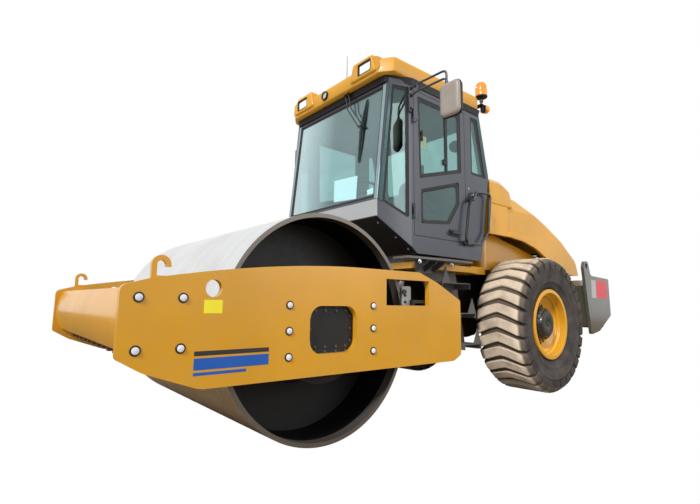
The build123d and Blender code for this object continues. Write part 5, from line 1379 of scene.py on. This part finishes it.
# Studio
def studio():
    """Pale floor, white surround for the camera and soft lamps."""
    bpy.ops.mesh.primitive_plane_add(size=60.0, location=(0, 0, -0.001))
    floor = bpy.context.object
    floor.name = "studio_floor"
    finish = Finish("studio_floor_white")
    finish.set(Roughness=0.9, Base_Color=(0.82, 0.82, 0.82, 1.0))
    path = finish.node("ShaderNodeLightPath")
    white = finish.node("ShaderNodeEmission")
    earth = finish.node("ShaderNodeBsdfDiffuse")
    finish.link(finish.mix(path.outputs["Is Glossy Ray"], (0.50, 0.48, 0.46, 1.0), (0.25, 0.17, 0.10, 1.0)),
                earth.inputs["Color"])
    shown = finish.node("ShaderNodeMixShader")
    finish.link(path.outputs["Is Camera Ray"], shown.inputs[0])
    finish.link(earth.outputs[0], shown.inputs[1])
    finish.link(white.outputs[0], shown.inputs[2])
    finish.link(shown.outputs[0], finish.tree.nodes["Material Output"].inputs["Surface"])
    floor.data.materials.append(finish.material)

    world = bpy.data.worlds.new("studio_world")
    bpy.context.scene.world = world
    world.use_nodes = True
    nodes = world.node_tree.nodes
    links = world.node_tree.links

    def backdrop(colour, strength):
        node = nodes.new("ShaderNodeBackground")
        node.inputs["Color"].default_value = colour
        node.inputs["Strength"].default_value = strength
        return node

    def choose(ray, no, yes):
        mixer = nodes.new("ShaderNodeMixShader")
        links.new(rays.outputs[ray], mixer.inputs[0])
        links.new(no.outputs[0], mixer.inputs[1])
        links.new(yes.outputs[0], mixer.inputs[2])
        return mixer

    rays = nodes.new("ShaderNodeLightPath")
    ambient = backdrop((0.96, 0.98, 1.0, 1.0), 0.50)
    sky = backdrop((0.97, 0.985, 1.0, 1.0), 0.95)
    plain = backdrop((1.0, 1.0, 1.0, 1.0), 1.0)
    seen = choose("Is Camera Ray", choose("Is Glossy Ray", ambient, sky), plain)
    links.new(seen.outputs[0], nodes["World Output"].inputs["Surface"])

    def add_lamp(name, kind, energy, place, aim):
        light = bpy.data.lights.new(name, kind)
        light.energy = energy
        lamp = bpy.data.objects.new(name, light)
        bpy.context.collection.objects.link(lamp)
        lamp.location = place
        lamp.rotation_euler = aim.to_track_quat("-Z", "Y").to_euler()
        return light

    spot = Vector((6.5, 2.5, 3.6))
    side_lamp = add_lamp("side_lamp", "AREA", 135.0, spot, Vector((0.6, 0.4, 0.9)) - spot)
    side_lamp.size = 4.0
    front_sun = add_lamp("front_sun", "SUN", 2.6, Vector(), Vector((-0.30, 0.76, -0.62)))
    front_sun.angle = math.radians(9.0)


def camera():
    """Camera at the photograph's place and angle."""
    azimuth = math.radians(CAMERA_AZIMUTH)
    pitch = math.radians(CAMERA_PITCH)
    roll = math.radians(CAMERA_ROLL)
    flat = Vector((-math.sin(azimuth), math.cos(azimuth), 0.0))
    forward = flat * math.cos(pitch) + Vector((0.0, 0.0, math.sin(pitch)))
    right = forward.cross(Vector((0.0, 0.0, 1.0))).normalized()
    up = right.cross(forward)
    turned_right = right * math.cos(roll) + up * math.sin(roll)
    turned_up = up * math.cos(roll) - right * math.sin(roll)
    axes = Matrix((turned_right, turned_up, -forward)).transposed().to_4x4()
    data = bpy.data.cameras.new("photo_camera")
    data.lens = CAMERA_LENS
    data.shift_x, data.shift_y = CAMERA_SHIFT
    data.clip_end = 200.0
    view = bpy.data.objects.new("photo_camera", data)
    view.matrix_world = Matrix.Translation(CAMERA_PLACE) @ axes
    bpy.context.collection.objects.link(view)
    bpy.context.scene.camera = view


studio()
camera()
bpy.context.scene.view_settings.view_transform = "Standard"
